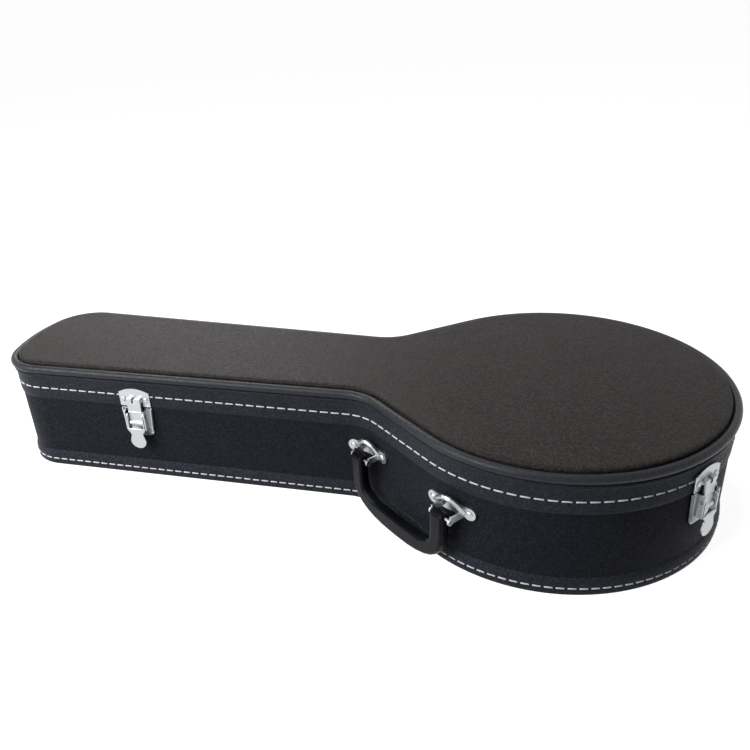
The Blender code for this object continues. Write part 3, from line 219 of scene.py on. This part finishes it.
def metal(name, code, roughness, spread, wave):
    """Smooth metal whose roughness varies by the spread, with a wave of this height."""
    material, tree = start_finish(name)
    place = add_node(tree, "ShaderNodeTexCoord").outputs["Object"]
    smear = add_node(tree, "ShaderNodeTexNoise", {"Scale": 1 / FINGER_MARK, "Detail": 5.0},
                     {"Vector": place})
    gloss = add_node(tree, "ShaderNodeMapRange",
                     {**NOISE_RANGE, "To Min": roughness - spread, "To Max": roughness + spread},
                     {"Value": smear.outputs["Fac"]})
    stamped = add_node(tree, "ShaderNodeTexNoise", {"Scale": 1 / STAMPING_WAVE, "Detail": 1.0},
                       {"Vector": place})
    dents = add_node(tree, "ShaderNodeBump", {"Strength": 0.5, "Distance": wave},
                     {"Height": stamped.outputs["Fac"]})
    return end_finish(material, {"Base Color": from_hex(code), "Metallic": 1.0},
                      {"Roughness": gloss.outputs[0], "Normal": dents.outputs[0]})


CHROME = metal("bright_chromium_plate", "#b4b6b9", 0.34, 0.04, 0.03 * MM)
STEEL = metal("plain_steel_wire", "#9b9a98", 0.32, 0.08, 0.05 * MM)
print("metals", CHROME.name, STEEL.name)

# %% [markdown]
# The handle is moulded in soft black PVC. Its mould was cut by sparks, which leaves fine pits on
# the surface, and the hand polishes some places more than others. The real pits are finer than a
# pixel, so they are drawn about four times as coarse. The gloss level is low for the same reason
# as on the leather.

# %% Moulded handle
SPARK_PIT = 1.1 * MM
PIT_DEPTH = 0.1 * MM
HANDLE_WEAR = 17 * MM


def moulded_pvc():
    """Satin black PVC, worn glossier in patches."""
    material, tree = start_finish("moulded_pvc_handle")
    place = add_node(tree, "ShaderNodeTexCoord").outputs["Object"]
    pits = add_node(tree, "ShaderNodeTexNoise", {"Scale": 1 / SPARK_PIT, "Detail": 3.0},
                    {"Vector": place})
    worn = add_node(tree, "ShaderNodeTexNoise", {"Scale": 1 / HANDLE_WEAR, "Detail": 3.0},
                    {"Vector": place})
    colour = add_node(tree, "ShaderNodeValToRGB",
                      {"Steps": [(0.35, "#0b0c0f"), (0.75, "#14161a")]},
                      {"Fac": worn.outputs["Fac"]})
    gloss = add_node(tree, "ShaderNodeMapRange", {**NOISE_RANGE, "To Min": 0.32, "To Max": 0.22},
                     {"Value": worn.outputs["Fac"]})
    bump = add_node(tree, "ShaderNodeBump", {"Strength": 0.4, "Distance": PIT_DEPTH},
                    {"Height": pits.outputs["Fac"]})
    return end_finish(material, {"Specular IOR Level": 0.06},
                      {"Base Color": colour.outputs["Color"], "Roughness": gloss.outputs[0],
                       "Normal": bump.outputs[0]})


HANDLE_PVC = moulded_pvc()
print("handle", HANDLE_PVC.name)

# %% [markdown]
# Plush is a knitted cloth with a short pile. Sheen makes it lighter where it is seen along the
# pile than where it is seen into it, and broad patches show where the pile lies another way. Its
# tufts are finer than a pixel, so they are drawn about four times as coarse.

# %% Plush
PILE_TUFT = 1.4 * MM
PILE_HEIGHT = 0.5 * MM
PILE_LIE = 45 * MM
TUFT_SHADE = 0.5


def plush():
    """Short-pile plush in dark red."""
    material, tree = start_finish("short_pile_plush")
    place = add_node(tree, "ShaderNodeTexCoord").outputs["Object"]
    nap = add_node(tree, "ShaderNodeTexNoise", {"Scale": 1 / PILE_TUFT, "Detail": 3.0},
                   {"Vector": place})
    lie = add_node(tree, "ShaderNodeTexNoise", {"Scale": 1 / PILE_LIE, "Detail": 3.0},
                   {"Vector": place})
    tone = add_node(tree, "ShaderNodeMath", {"operation": "MULTIPLY_ADD", 1: TUFT_SHADE},
                    {0: nap.outputs["Fac"], 2: lie.outputs["Fac"]})
    colour = add_node(tree, "ShaderNodeValToRGB",
                      {"Steps": [(0.45, "#561325"), (1.0, "#7a2036")]},
                      {"Fac": tone.outputs[0]})
    bump = add_node(tree, "ShaderNodeBump", {"Strength": 0.7, "Distance": PILE_HEIGHT},
                    {"Height": nap.outputs["Fac"]})
    return end_finish(material,
                      {"Roughness": 0.95, "Sheen Weight": 0.5, "Sheen Roughness": 0.4},
                      {"Base Color": colour.outputs["Color"], "Normal": bump.outputs[0]})


PLUSH = plush()
print("lining", PLUSH.name)

# %% [markdown]
# The seams are sewn with bonded polyester, three plies twisted together, so a fine slanting rib
# runs across the thread. A wave pattern on the diagonal gives the rib, drawn about three times as
# coarse as real plies, which are finer than a pixel.

# %% Sewing thread
THREAD_PLY = 1.14 * MM
PLY_DEPTH = 0.1 * MM
WAVES_PER_SCALE = 10 / (2 * pi)


def sewing_thread():
    """White twisted thread, painted greyer between its plies as painted shade."""
    material, tree = start_finish("white_polyester_thread")
    place = add_node(tree, "ShaderNodeTexCoord").outputs["Object"]
    twist = add_node(tree, "ShaderNodeTexWave",
                     {"bands_direction": "DIAGONAL", "Scale": 1 / (THREAD_PLY * WAVES_PER_SCALE)},
                     {"Vector": place})
    # The grooves between the plies are painted grey: painted shade.
    colour = add_node(tree, "ShaderNodeValToRGB",
                      {"Steps": [(0.0, "#a4a6ad"), (0.6, "#dddfe6")]},
                      {"Fac": twist.outputs["Fac"]})
    bump = add_node(tree, "ShaderNodeBump", {"Strength": 0.6, "Distance": PLY_DEPTH},
                    {"Height": twist.outputs["Fac"]})
    return end_finish(material, {"Roughness": 0.6},
                      {"Base Color": colour.outputs["Color"], "Normal": bump.outputs[0]})


THREAD = sewing_thread()
print("thread", THREAD.name)

# %% [markdown]
# The boards are birch plywood, peeled and pressed, which shows as long soft grain. A noise that is
# stretched along X gives it.

# %% Plywood
GRAIN_SIZE = (55 * MM, 3.7 * MM, 3.7 * MM)
GRAIN_DEPTH = 0.3 * MM


def plywood():
    """Bare birch plywood, with its grain along the case."""
    material, tree = start_finish("birch_plywood")
    place = add_node(tree, "ShaderNodeTexCoord").outputs["Object"]
    along = add_node(tree, "ShaderNodeMapping", {"Scale": [1 / size for size in GRAIN_SIZE]},
                     {"Vector": place})
    grain = add_node(tree, "ShaderNodeTexNoise", {"Scale": 1.0, "Detail": 6.0},
                     {"Vector": along.outputs[0]})
    colour = add_node(tree, "ShaderNodeValToRGB",
                      {"Steps": [(0.3, "#8a6a45"), (0.7, "#c29b6c")]},
                      {"Fac": grain.outputs["Fac"]})
    bump = add_node(tree, "ShaderNodeBump", {"Strength": 0.3, "Distance": GRAIN_DEPTH},
                    {"Height": grain.outputs["Fac"]})
    return end_finish(material, {"Roughness": 0.7},
                      {"Base Color": colour.outputs["Color"], "Normal": bump.outputs[0]})


PLYWOOD = plywood()
print("boards", PLYWOOD.name)

# %% [markdown]
# The case's plan is a round body, a straight shoulder, a hollow throat, a tapering neck and a head
# with round corners and a slightly bowed end. Each soft piece follows this plan at its own
# distance from the base's wall. As by hand, a point is spun round an arc's centre, extruded along
# a straight, and spun again; the other half is its mirror image. These sizes repeat the solids'.

# %% Sizes of the plan
BODY_RADIUS = 0.155
END_DISTANCE = 0.566
THROAT_HALF_WIDTH = 0.059
HEAD_HALF_WIDTH = 0.0705
FLARE = radians(40)
THROAT_FILLET = 0.050
HEAD_CORNER = 0.043
HEAD_BOW = 0.150
ARC_STEP = radians(2.5)

shoulder_x = -BODY_RADIUS * sin(FLARE)
throat_x = shoulder_x - (BODY_RADIUS * cos(FLARE) - THROAT_HALF_WIDTH) / tan(FLARE)
throat = Vector((throat_x, -THROAT_HALF_WIDTH))
flare_way = Vector((-cos(FLARE), sin(FLARE)))
neck_way = (Vector((-END_DISTANCE, -HEAD_HALF_WIDTH)) - throat).normalized()
flare_out = Vector((-flare_way.y, flare_way.x))
neck_out = Vector((-neck_way.y, neck_way.x))
throat_turn = flare_way.angle(neck_way)
throat_centre = (throat - flare_way * THROAT_FILLET * tan(throat_turn / 2)
                 + flare_out * THROAT_FILLET)
bow_centre = Vector((HEAD_BOW - END_DISTANCE, 0))
corner_line = throat - neck_out * HEAD_CORNER
from_bow = corner_line - bow_centre
along = neck_way.dot(from_bow)
corner_centre = corner_line + neck_way * (
    -along + sqrt(along ** 2 - from_bow.length_squared + (HEAD_BOW - HEAD_CORNER) ** 2))
to_corner = corner_centre - bow_centre
bow_turn = pi - atan2(abs(to_corner.y), to_corner.x)
corner_turn = pi - bow_turn - atan2(abs(neck_out.y), neck_out.x)
print("throat at", round(throat_x, 4), "corner turns", round(degrees(corner_turn), 1), "degrees")

# %% [markdown]
# A line starts as a point, which is a tiny plane merged to its middle. A spin carries the point
# round an arc and leaves a line behind it, and an extrusion does the same along a straight. The
# plan runs from the round end of the body to the middle of the head, and a mirror closes it.

# %% Draw the plan
CLOSE = 0.01 * MM


def pick_only(piece):
    """Make this the one selected and active object."""
    bpy.ops.object.select_all(action="DESELECT")
    piece.select_set(True)
    bpy.context.view_layer.objects.active = piece


def start_point(place):
    """Begin a drawing in edit mode with one point."""
    bpy.ops.object.select_all(action="DESELECT")
    bpy.ops.mesh.primitive_plane_add(size=MM)
    bpy.ops.object.mode_set(mode="EDIT")
    bpy.ops.mesh.select_mode(type="VERT")
    bpy.ops.mesh.merge(type="CENTER")
    bpy.ops.mesh.select_all(action="SELECT")
    bpy.ops.transform.translate(value=place)


def spin_on(centre, height, turn):
    """Carry the line on round an arc; a positive turn goes clockwise."""
    bpy.ops.mesh.spin(steps=ceil(abs(turn) / ARC_STEP), angle=turn, center=(*centre, height),
                      axis=(0, 0, 1))


def extrude_by(way):
    """Carry the line on along a straight."""
    bpy.ops.mesh.extrude_region_move(TRANSFORM_OT_translate={"value": (way.x, way.y, 0)})


def case_line(out, height):
    """The case's plan as a closed wire, this far outside the base's wall."""
    body_end = Vector((-sin(FLARE), -cos(FLARE))) * (BODY_RADIUS + out)
    hollow_start = throat_centre - flare_out * (THROAT_FILLET - out)
    hollow_end = throat_centre - neck_out * (THROAT_FILLET - out)
    corner_start = corner_centre + neck_out * (HEAD_CORNER + out)
    start_point((BODY_RADIUS + out, 0, height))
    spin_on((0, 0), height, pi / 2 + FLARE)
    extrude_by(hollow_start - body_end)
    spin_on(throat_centre, height, -throat_turn)
    extrude_by(corner_start - hollow_end)
    spin_on(corner_centre, height, corner_turn)
    spin_on(bow_centre, height, bow_turn)
    bpy.ops.object.mode_set(mode="OBJECT")
    line = bpy.context.object
    bpy.ops.object.modifier_add(type="MIRROR")
    half = line.modifiers[-1]
    half.use_axis = (False, True, False)
    half.merge_threshold = CLOSE
    bpy.ops.object.modifier_apply(modifier=half.name)
    return line

# %% [markdown]
# Two lines of the plan are bridged to a band, and bands are joined to a covering. Each covering is
# given as one section, which is carried round the plan: a list of distances out from the base's
# wall and heights, in millimetres. A section that closes gives a ring, and one that doesn't gives
# a plate, capped at its two ends.

# %% Bands and coverings
def join_pieces(pieces):
    """Join these into the first one."""
    bpy.ops.object.select_all(action="DESELECT")
    for piece in pieces:
        piece.select_set(True)
    bpy.context.view_layer.objects.active = pieces[0]
    bpy.ops.object.join()
    return pieces[0]


def bridge(start, end):
    """The band between two lines, each given as (out, height)."""
    band = join_pieces([case_line(*start), case_line(*end)])
    bpy.ops.object.mode_set(mode="EDIT")
    bpy.ops.mesh.select_all(action="SELECT")
    bpy.ops.mesh.bridge_edge_loops()
    bpy.ops.object.mode_set(mode="OBJECT")
    return band


def case_band(name, profile, closed=True):
    """A ring round the case from its section, or a capped plate if it isn't closed."""
    points = [(out * MM, height * MM) for out, height in profile]
    ends = points[1:] + points[:1] if closed else points[1:]
    piece = join_pieces([bridge(start, end) for start, end in zip(points, ends)])
    bpy.ops.object.mode_set(mode="EDIT")
    bpy.ops.mesh.select_all(action="SELECT")
    bpy.ops.mesh.remove_doubles(threshold=CLOSE)
    if not closed:
        bpy.ops.mesh.fill_holes(sides=0)
        bpy.ops.mesh.select_all(action="SELECT")
    bpy.ops.mesh.normals_make_consistent(inside=False)
    bpy.ops.object.mode_set(mode="OBJECT")
    bpy.ops.object.shade_smooth_by_angle(angle=radians(50))
    piece.name = piece.data.name = name
    print(name, len(piece.data.polygons), "faces")
    return piece


def finish_piece(piece, material, body, slot, *nodes):
    """Give a piece its finish and its body, and let it stand for its solids."""
    plate_finish(piece, material)
    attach(piece, body)
    if nodes:
        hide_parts(*nodes)

# %% [markdown]
# The covering of the base is glued round the board's upper edge, so that its corner is round,
# about a millimetre, and it ends inside. It could be the board's own mesh with a thickness, but
# the fold round the edge is what shows at the parting line, so its section is drawn out.

# %% Covering of the base's wall
base_wall = case_band("base_side_cover", [
    (0.0, 1.6), (0.0, 80.6), (-0.2, 81.0), (-0.7, 81.2), (-6.5, 81.2), (-6.5, 80.1),
    (-1.3, 80.1), (-1.2, 79.8), (-1.2, 1.6)])
finish_piece(base_wall, SIDE_LEATHER, "base", "side_leatherette", "base_side_covering")

# %% [markdown]
# The piece under the base turns up over the foot of the wall, where it is sewn. It has a soft roll,
# thicker at the bottom, and along the seam the thread pulls a shallow valley into it. Like the
# lid's strip it is painted lighter than the wall, as painted light on its upward roll.

# %% Covering of the foot
foot = case_band("base_foot_cover", [
    (-8.0, 0.0), (0.7, 0.0), (1.35, 0.35), (1.75, 1.0), (1.9, 3.5), (1.8, 6.2), (1.45, 7.3),
    (1.8, 8.4), (2.05, 9.6), (1.95, 11.2), (1.55, 13.4), (1.0, 15.4), (0.45, 16.9), (0.1, 17.5),
    (-0.2, 17.5), (-0.2, 1.2), (-8.0, 1.2)], closed=False)
finish_piece(foot, TRIM_LEATHER_PAINTED_LIGHTER, "base", "side_leatherette", "base_bottom_covering")

# %% [markdown]
# The lid's side covering is a strip of the same embossed PVC painted lighter than the wall's, which
# is painted light for the light that the strip catches more than the wall. It folds over a thin
# welt just under the bead. The welt shows as a fine light line, and the seam again lies in a
# valley. The strip is rounded at its lower edge too, where it meets the base.

# %% Covering of the lid's side
lid_wall = case_band("lid_side_cover", [
    (-6.5, 82.6), (-6.5, 81.4), (-0.3, 81.35), (0.35, 81.6), (0.9, 82.8), (1.25, 85.0),
    (1.3, 91.5), (1.15, 93.4), (0.8, 94.5), (1.1, 95.6), (1.2, 97.5), (1.15, 105.5),
    (1.5, 106.8), (2.2, 107.7), (2.5, 108.5), (2.35, 109.2), (1.7, 109.9), (0.4, 110.6),
    (-0.1, 110.6), (-0.1, 83.0), (-0.3, 82.6)])
finish_piece(lid_wall, TRIM_LEATHER_PAINTED_LIGHTER, "lid", "side_leatherette", "lid_side_covering")

# %% [markdown]
# The top covering has foam under it, so it rolls over its edge down into the bead's groove. Only
# the roll is curved; the rest is one flat face, as the board under it is flat.

# %% Covering of the lid's top
lid_top = case_band("lid_top_cover", [
    (-4.4, 116.9), (-4.15, 118.5), (-4.2, 119.6), (-4.6, 120.6), (-5.4, 121.2), (-6.7, 121.5),
    (-9.5, 121.6)], closed=False)
finish_piece(lid_top, TOP_LEATHER, "lid", "top_leatherette", "lid_top_covering")

# %% [markdown]
# The bead is a cord with a strip of the same material sewn round it. It is a curve with a round
# bevel, turned into a mesh, because a bevel keeps the section round all along the plan.

# %% Rolled bead round the lid's top
BEAD_OUT = 0.1 * MM
BEAD_HEIGHT = 115.1 * MM
BEAD_RADIUS = 4.2 * MM

bead = case_line(BEAD_OUT, BEAD_HEIGHT)
bpy.ops.object.convert(target="CURVE")
bead.data.bevel_depth = BEAD_RADIUS
bead.data.bevel_resolution = 6
bpy.ops.object.convert(target="MESH")
bpy.ops.object.shade_smooth()
bead.name = bead.data.name = "lid_rolled_bead"
finish_piece(bead, BEAD_LEATHER, "lid", "piping_leatherette", "lid_piping")
print(bead.name, len(bead.data.polygons), "faces")

# %% [markdown]
# A lockstitch shows as a row of short rounded dashes of thick thread, as on luggage. One stitch is
# modelled from a cylinder with its ends drawn in, and repeated hundreds of times, so it has only a
# few faces.

# %% One stitch
THREAD_RADIUS = 0.70 * MM
STITCH_END = 0.8 * THREAD_RADIUS


def one_stitch(length):
    """A stitch along X: a round bar with its ends drawn down into the material."""
    bpy.ops.object.select_all(action="DESELECT")
    bpy.ops.mesh.primitive_cylinder_add(vertices=8, radius=THREAD_RADIUS, depth=length,
                                        rotation=(0, pi / 2, 0))
    stitch = bpy.context.object
    bpy.ops.object.transform_apply(location=True, rotation=True, scale=True)
    bpy.ops.object.modifier_add(type="BEVEL")
    bevel = stitch.modifiers[-1]
    bevel.width = STITCH_END
    bevel.segments = 2
    bevel.angle_limit = radians(60)
    bpy.ops.object.modifier_apply(modifier=bevel.name)
    bpy.ops.object.shade_smooth()
    return stitch

# %% [markdown]
# One seam runs along the middle of the lid's side and one along the foot, each with its own stitch
# length and pitch. An array fits copies of the stitch along the plan and a curve bends them round
# it, which keeps the pitch even, as a machine does.

# %% Seams
def seam(name, out, height, length, pitch):
    """Stitches of this length and pitch all round the case."""
    path = case_line(out, height)
    bpy.ops.object.convert(target="CURVE")
    stitch = one_stitch(length)
    bpy.ops.object.modifier_add(type="ARRAY")
    row = stitch.modifiers[-1]
    row.fit_type = "FIT_CURVE"
    row.curve = path
    row.use_relative_offset = False
    row.use_constant_offset = True
    row.constant_offset_displace = (pitch, 0, 0)
    bpy.ops.object.modifier_add(type="CURVE")
    stitch.modifiers[-1].object = path
    for modifier in list(stitch.modifiers):
        bpy.ops.object.modifier_apply(modifier=modifier.name)
    bpy.data.objects.remove(path)
    stitch.name = stitch.data.name = name
    print(name, len(stitch.data.polygons), "faces")
    return stitch


lid_seam = seam("lid_seam", 1.15 * MM, 94.5 * MM, 8.3 * MM, 10.7 * MM)
finish_piece(lid_seam, THREAD, "lid", "side_leatherette")
base_seam = seam("base_seam", 1.75 * MM, 7.3 * MM, 7.3 * MM, 9.6 * MM)
finish_piece(base_seam, THREAD, "base", "side_leatherette")

# %% [markdown]
# Inside, everything that the instrument touches is lined with plush over thin foam. The floor has
# a pad with a rolled edge, the wall a thicker lining up to where the lip stands, and the lip, which
# keeps the lid in line, is a thin strip with plush folded over its top.

# %% Lining of the base
floor_pad = case_band("base_plush_floor", [
    (-6.9, 6.8), (-6.9, 10.6), (-7.4, 11.9), (-8.9, 12.7), (-12.0, 13.05)], closed=False)
finish_piece(floor_pad, PLUSH, "base", "plush_lining", "base_floor_pad")

wall_plush = case_band("base_plush_wall", [
    (-6.8, 13.2), (-6.8, 60.8), (-9.0, 60.8), (-9.8, 60.0), (-9.8, 14.2), (-9.3, 13.2)])
finish_piece(wall_plush, PLUSH, "base", "plush_lining", "base_side_lining")

lip = case_band("base_plush_lip", [
    (-7.2, 61.3), (-7.2, 88.2), (-7.6, 88.9), (-8.2, 89.0), (-8.8, 88.9), (-9.2, 88.2),
    (-9.2, 61.3)])
finish_piece(lip, PLUSH, "base", "plush_lining", "base_closing_lip")

# %% [markdown]
# The lid is lined in the same way. Where the lip goes in beside it, the wall's lining is only a
# thin film of plush on the board, and above that it is full.

# %% Lining of the lid
lid_pad = case_band("lid_plush_pad", [
    (-6.9, 110.6), (-6.9, 107.0), (-7.4, 105.6), (-8.9, 104.9), (-12.0, 104.6)], closed=False)
finish_piece(lid_pad, PLUSH, "lid", "plush_lining", "lid_top_pad")

lid_plush = case_band("lid_plush_wall", [
    (-6.55, 82.7), (-6.55, 104.1), (-9.8, 104.1), (-9.8, 91.4), (-9.0, 90.6), (-6.9, 90.5),
    (-6.9, 82.7)])
finish_piece(lid_plush, PLUSH, "lid", "plush_lining", "lid_side_lining")

# %% [markdown]
# Two foam blocks covered in plush hold the instrument's neck. They are copies of their solids with
# the edges rounded, so that the notches stay where they are. A copy is welded first, because a
# solid comes as loose triangles.

# %% Neck rests
REST_ROUNDING = 2.5 * MM


def copy_solid(node, name):
    """A welded copy of a solid, with its flat faces whole again."""
    bpy.ops.object.select_all(action="DESELECT")
    piece = NODES[node].copy()
    piece.data = NODES[node].data.copy()
    bpy.context.scene.collection.objects.link(piece)
    piece.parent = None
    for key in list(piece.keys()):
        if key.startswith("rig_"):
            del piece[key]
    pick_only(piece)
    piece.name = piece.data.name = name
    bpy.ops.object.mode_set(mode="EDIT")
    bpy.ops.mesh.select_all(action="SELECT")
    bpy.ops.mesh.remove_doubles(threshold=CLOSE)
    bpy.ops.mesh.dissolve_limited(angle_limit=radians(1))
    bpy.ops.object.mode_set(mode="OBJECT")
    return piece


for end in ("body_side", "head_side"):
    rest = copy_solid("neck_rest_" + end, "neck_rest_plush_" + end)
    bpy.ops.object.modifier_add(type="BEVEL")
    bevel = rest.modifiers[-1]
    bevel.width = REST_ROUNDING
    bevel.segments = 3
    bevel.angle_limit = radians(30)
    bpy.ops.object.modifier_apply(modifier=bevel.name)
    bpy.ops.object.shade_smooth_by_angle(angle=radians(40))
    finish_piece(rest, PLUSH, "base", "plush_lining", "neck_rest_" + end)
    print(rest.name, len(rest.data.polygons), "faces")

# %% [markdown]
# The stamped and turned pieces keep their solids. Their edges are broken by tumbling before they
# are plated, so each gets a fine rounding, which is what catches the light on real hardware. It is
# left as a modifier, because a solid's own mesh stays as it is.

# %% Finishes for the solids
NODE_FINISH = {"plywood": PLYWOOD, "bright_plated_steel": CHROME, "steel_pin": STEEL,
               "moulded_handle": HANDLE_PVC}
EDGE = 0.22 * MM
WELD = 0.005 * MM


def break_edges(node):
    """Round a solid's edges with modifiers."""
    pick_only(node)
    bpy.ops.object.modifier_add(type="WELD")
    node.modifiers[-1].merge_threshold = WELD
    bpy.ops.object.modifier_add(type="BEVEL")
    bevel = node.modifiers[-1]
    bevel.width = EDGE
    bevel.segments = 2
    bevel.angle_limit = radians(35)


shown = [node for node in NODES.values() if not node.hide_render]
for node in shown:
    finish = NODE_FINISH[node.data.materials[0].name.split(".")[0]]
    plate_finish(node, finish)
    if finish is CHROME:
        break_edges(node)
print("solids shown", len(shown))

# %% [markdown]
# The studio has a pale floor that reaches far behind the case. It glows white only for what looks
# at it directly, which is the camera and the reflections in metal, so that the glow doesn't light
# the case. The glow is a little less than white, and the lamps add the rest, so that the case
# keeps its shadow.

# %% Floor
FLOOR_SIZE = 60
FLOOR_GLOW = 0.92


def seen_directly(tree):
    """1 for rays from the camera, off metal or through glass, and 0 for those that give light."""
    rays = add_node(tree, "ShaderNodeLightPath")
    both = add_node(tree, "ShaderNodeMath", {"operation": "MAXIMUM"},
                    {0: rays.outputs["Is Camera Ray"], 1: rays.outputs["Is Glossy Ray"]})
    return add_node(tree, "ShaderNodeMath", {"operation": "MAXIMUM"},
                    {0: both.outputs[0], 1: rays.outputs["Is Transmission Ray"]}).outputs[0]


bpy.ops.object.select_all(action="DESELECT")
bpy.ops.mesh.primitive_plane_add(size=FLOOR_SIZE)
floor = bpy.context.object
floor.name = "studio_floor"

floor_paint, floor_tree = start_finish("pale_floor")
glow = add_node(floor_tree, "ShaderNodeMath", {"operation": "MULTIPLY", 1: FLOOR_GLOW},
                {0: seen_directly(floor_tree)})
end_finish(floor_paint, {"Base Color": from_hex("#b4b4b4"), "Roughness": 0.9,
                         "Specular IOR Level": 0.0, "Emission Color": WHITE},
           {"Emission Strength": glow.outputs[0]})
plate_finish(floor, floor_paint)
print(floor.name, FLOOR_SIZE, "m wide")

# %% [markdown]
# The room is white in the same way for what looks at it directly, and sends only a dim light into
# the shadows.

# %% Room
ROOM_LIGHT = 0.12

world = bpy.data.worlds.new("white_room")
bpy.context.scene.world = world
world.use_nodes = True
room = world.node_tree
room.nodes.clear()
dim = add_node(room, "ShaderNodeBackground", {"Color": WHITE, "Strength": ROOM_LIGHT})
bright = add_node(room, "ShaderNodeBackground", {"Color": WHITE, "Strength": 1.0})
mix = add_node(room, "ShaderNodeMixShader",
               links={0: seen_directly(room), 1: dim.outputs[0], 2: bright.outputs[0]})
add_node(room, "ShaderNodeOutputWorld", links={"Surface": mix.outputs[0]})
print(world.name, "light", ROOM_LIGHT)

# %% [markdown]
# A broad lamp stands at the left front, beyond the neck, so that the neck's side is the lightest
# and the side falls off round the body. A second one behind the case glances along the lid, and
# one overhead fills in.

# %% Lamps
def soft_lamp(name, place, target, size, power):
    """A square lamp that faces a point."""
    lamp = bpy.data.objects.new(name, bpy.data.lights.new(name, "AREA"))
    bpy.context.scene.collection.objects.link(lamp)
    lamp.data.size = size
    lamp.data.energy = power
    way = Vector(target) - Vector(place)
    lamp.matrix_world = (Matrix.Translation(place)
                         @ way.to_track_quat("-Z", "Y").to_matrix().to_4x4())
    print(name, "lamp,", power, "W at", round(way.length, 2), "m")


soft_lamp("window", (-1.0, -0.85, 0.75), (-0.3, 0.0, 0.06), 0.8, 20)
soft_lamp("behind", (-0.8, 0.8, 0.8), (-0.3, 0.0, 0.1), 0.7, 6)
soft_lamp("overhead", (-0.3, -0.3, 1.9), (-0.15, 0.0, 0.0), 0.4, 7)

bpy.context.scene.view_settings.view_transform = "Standard"
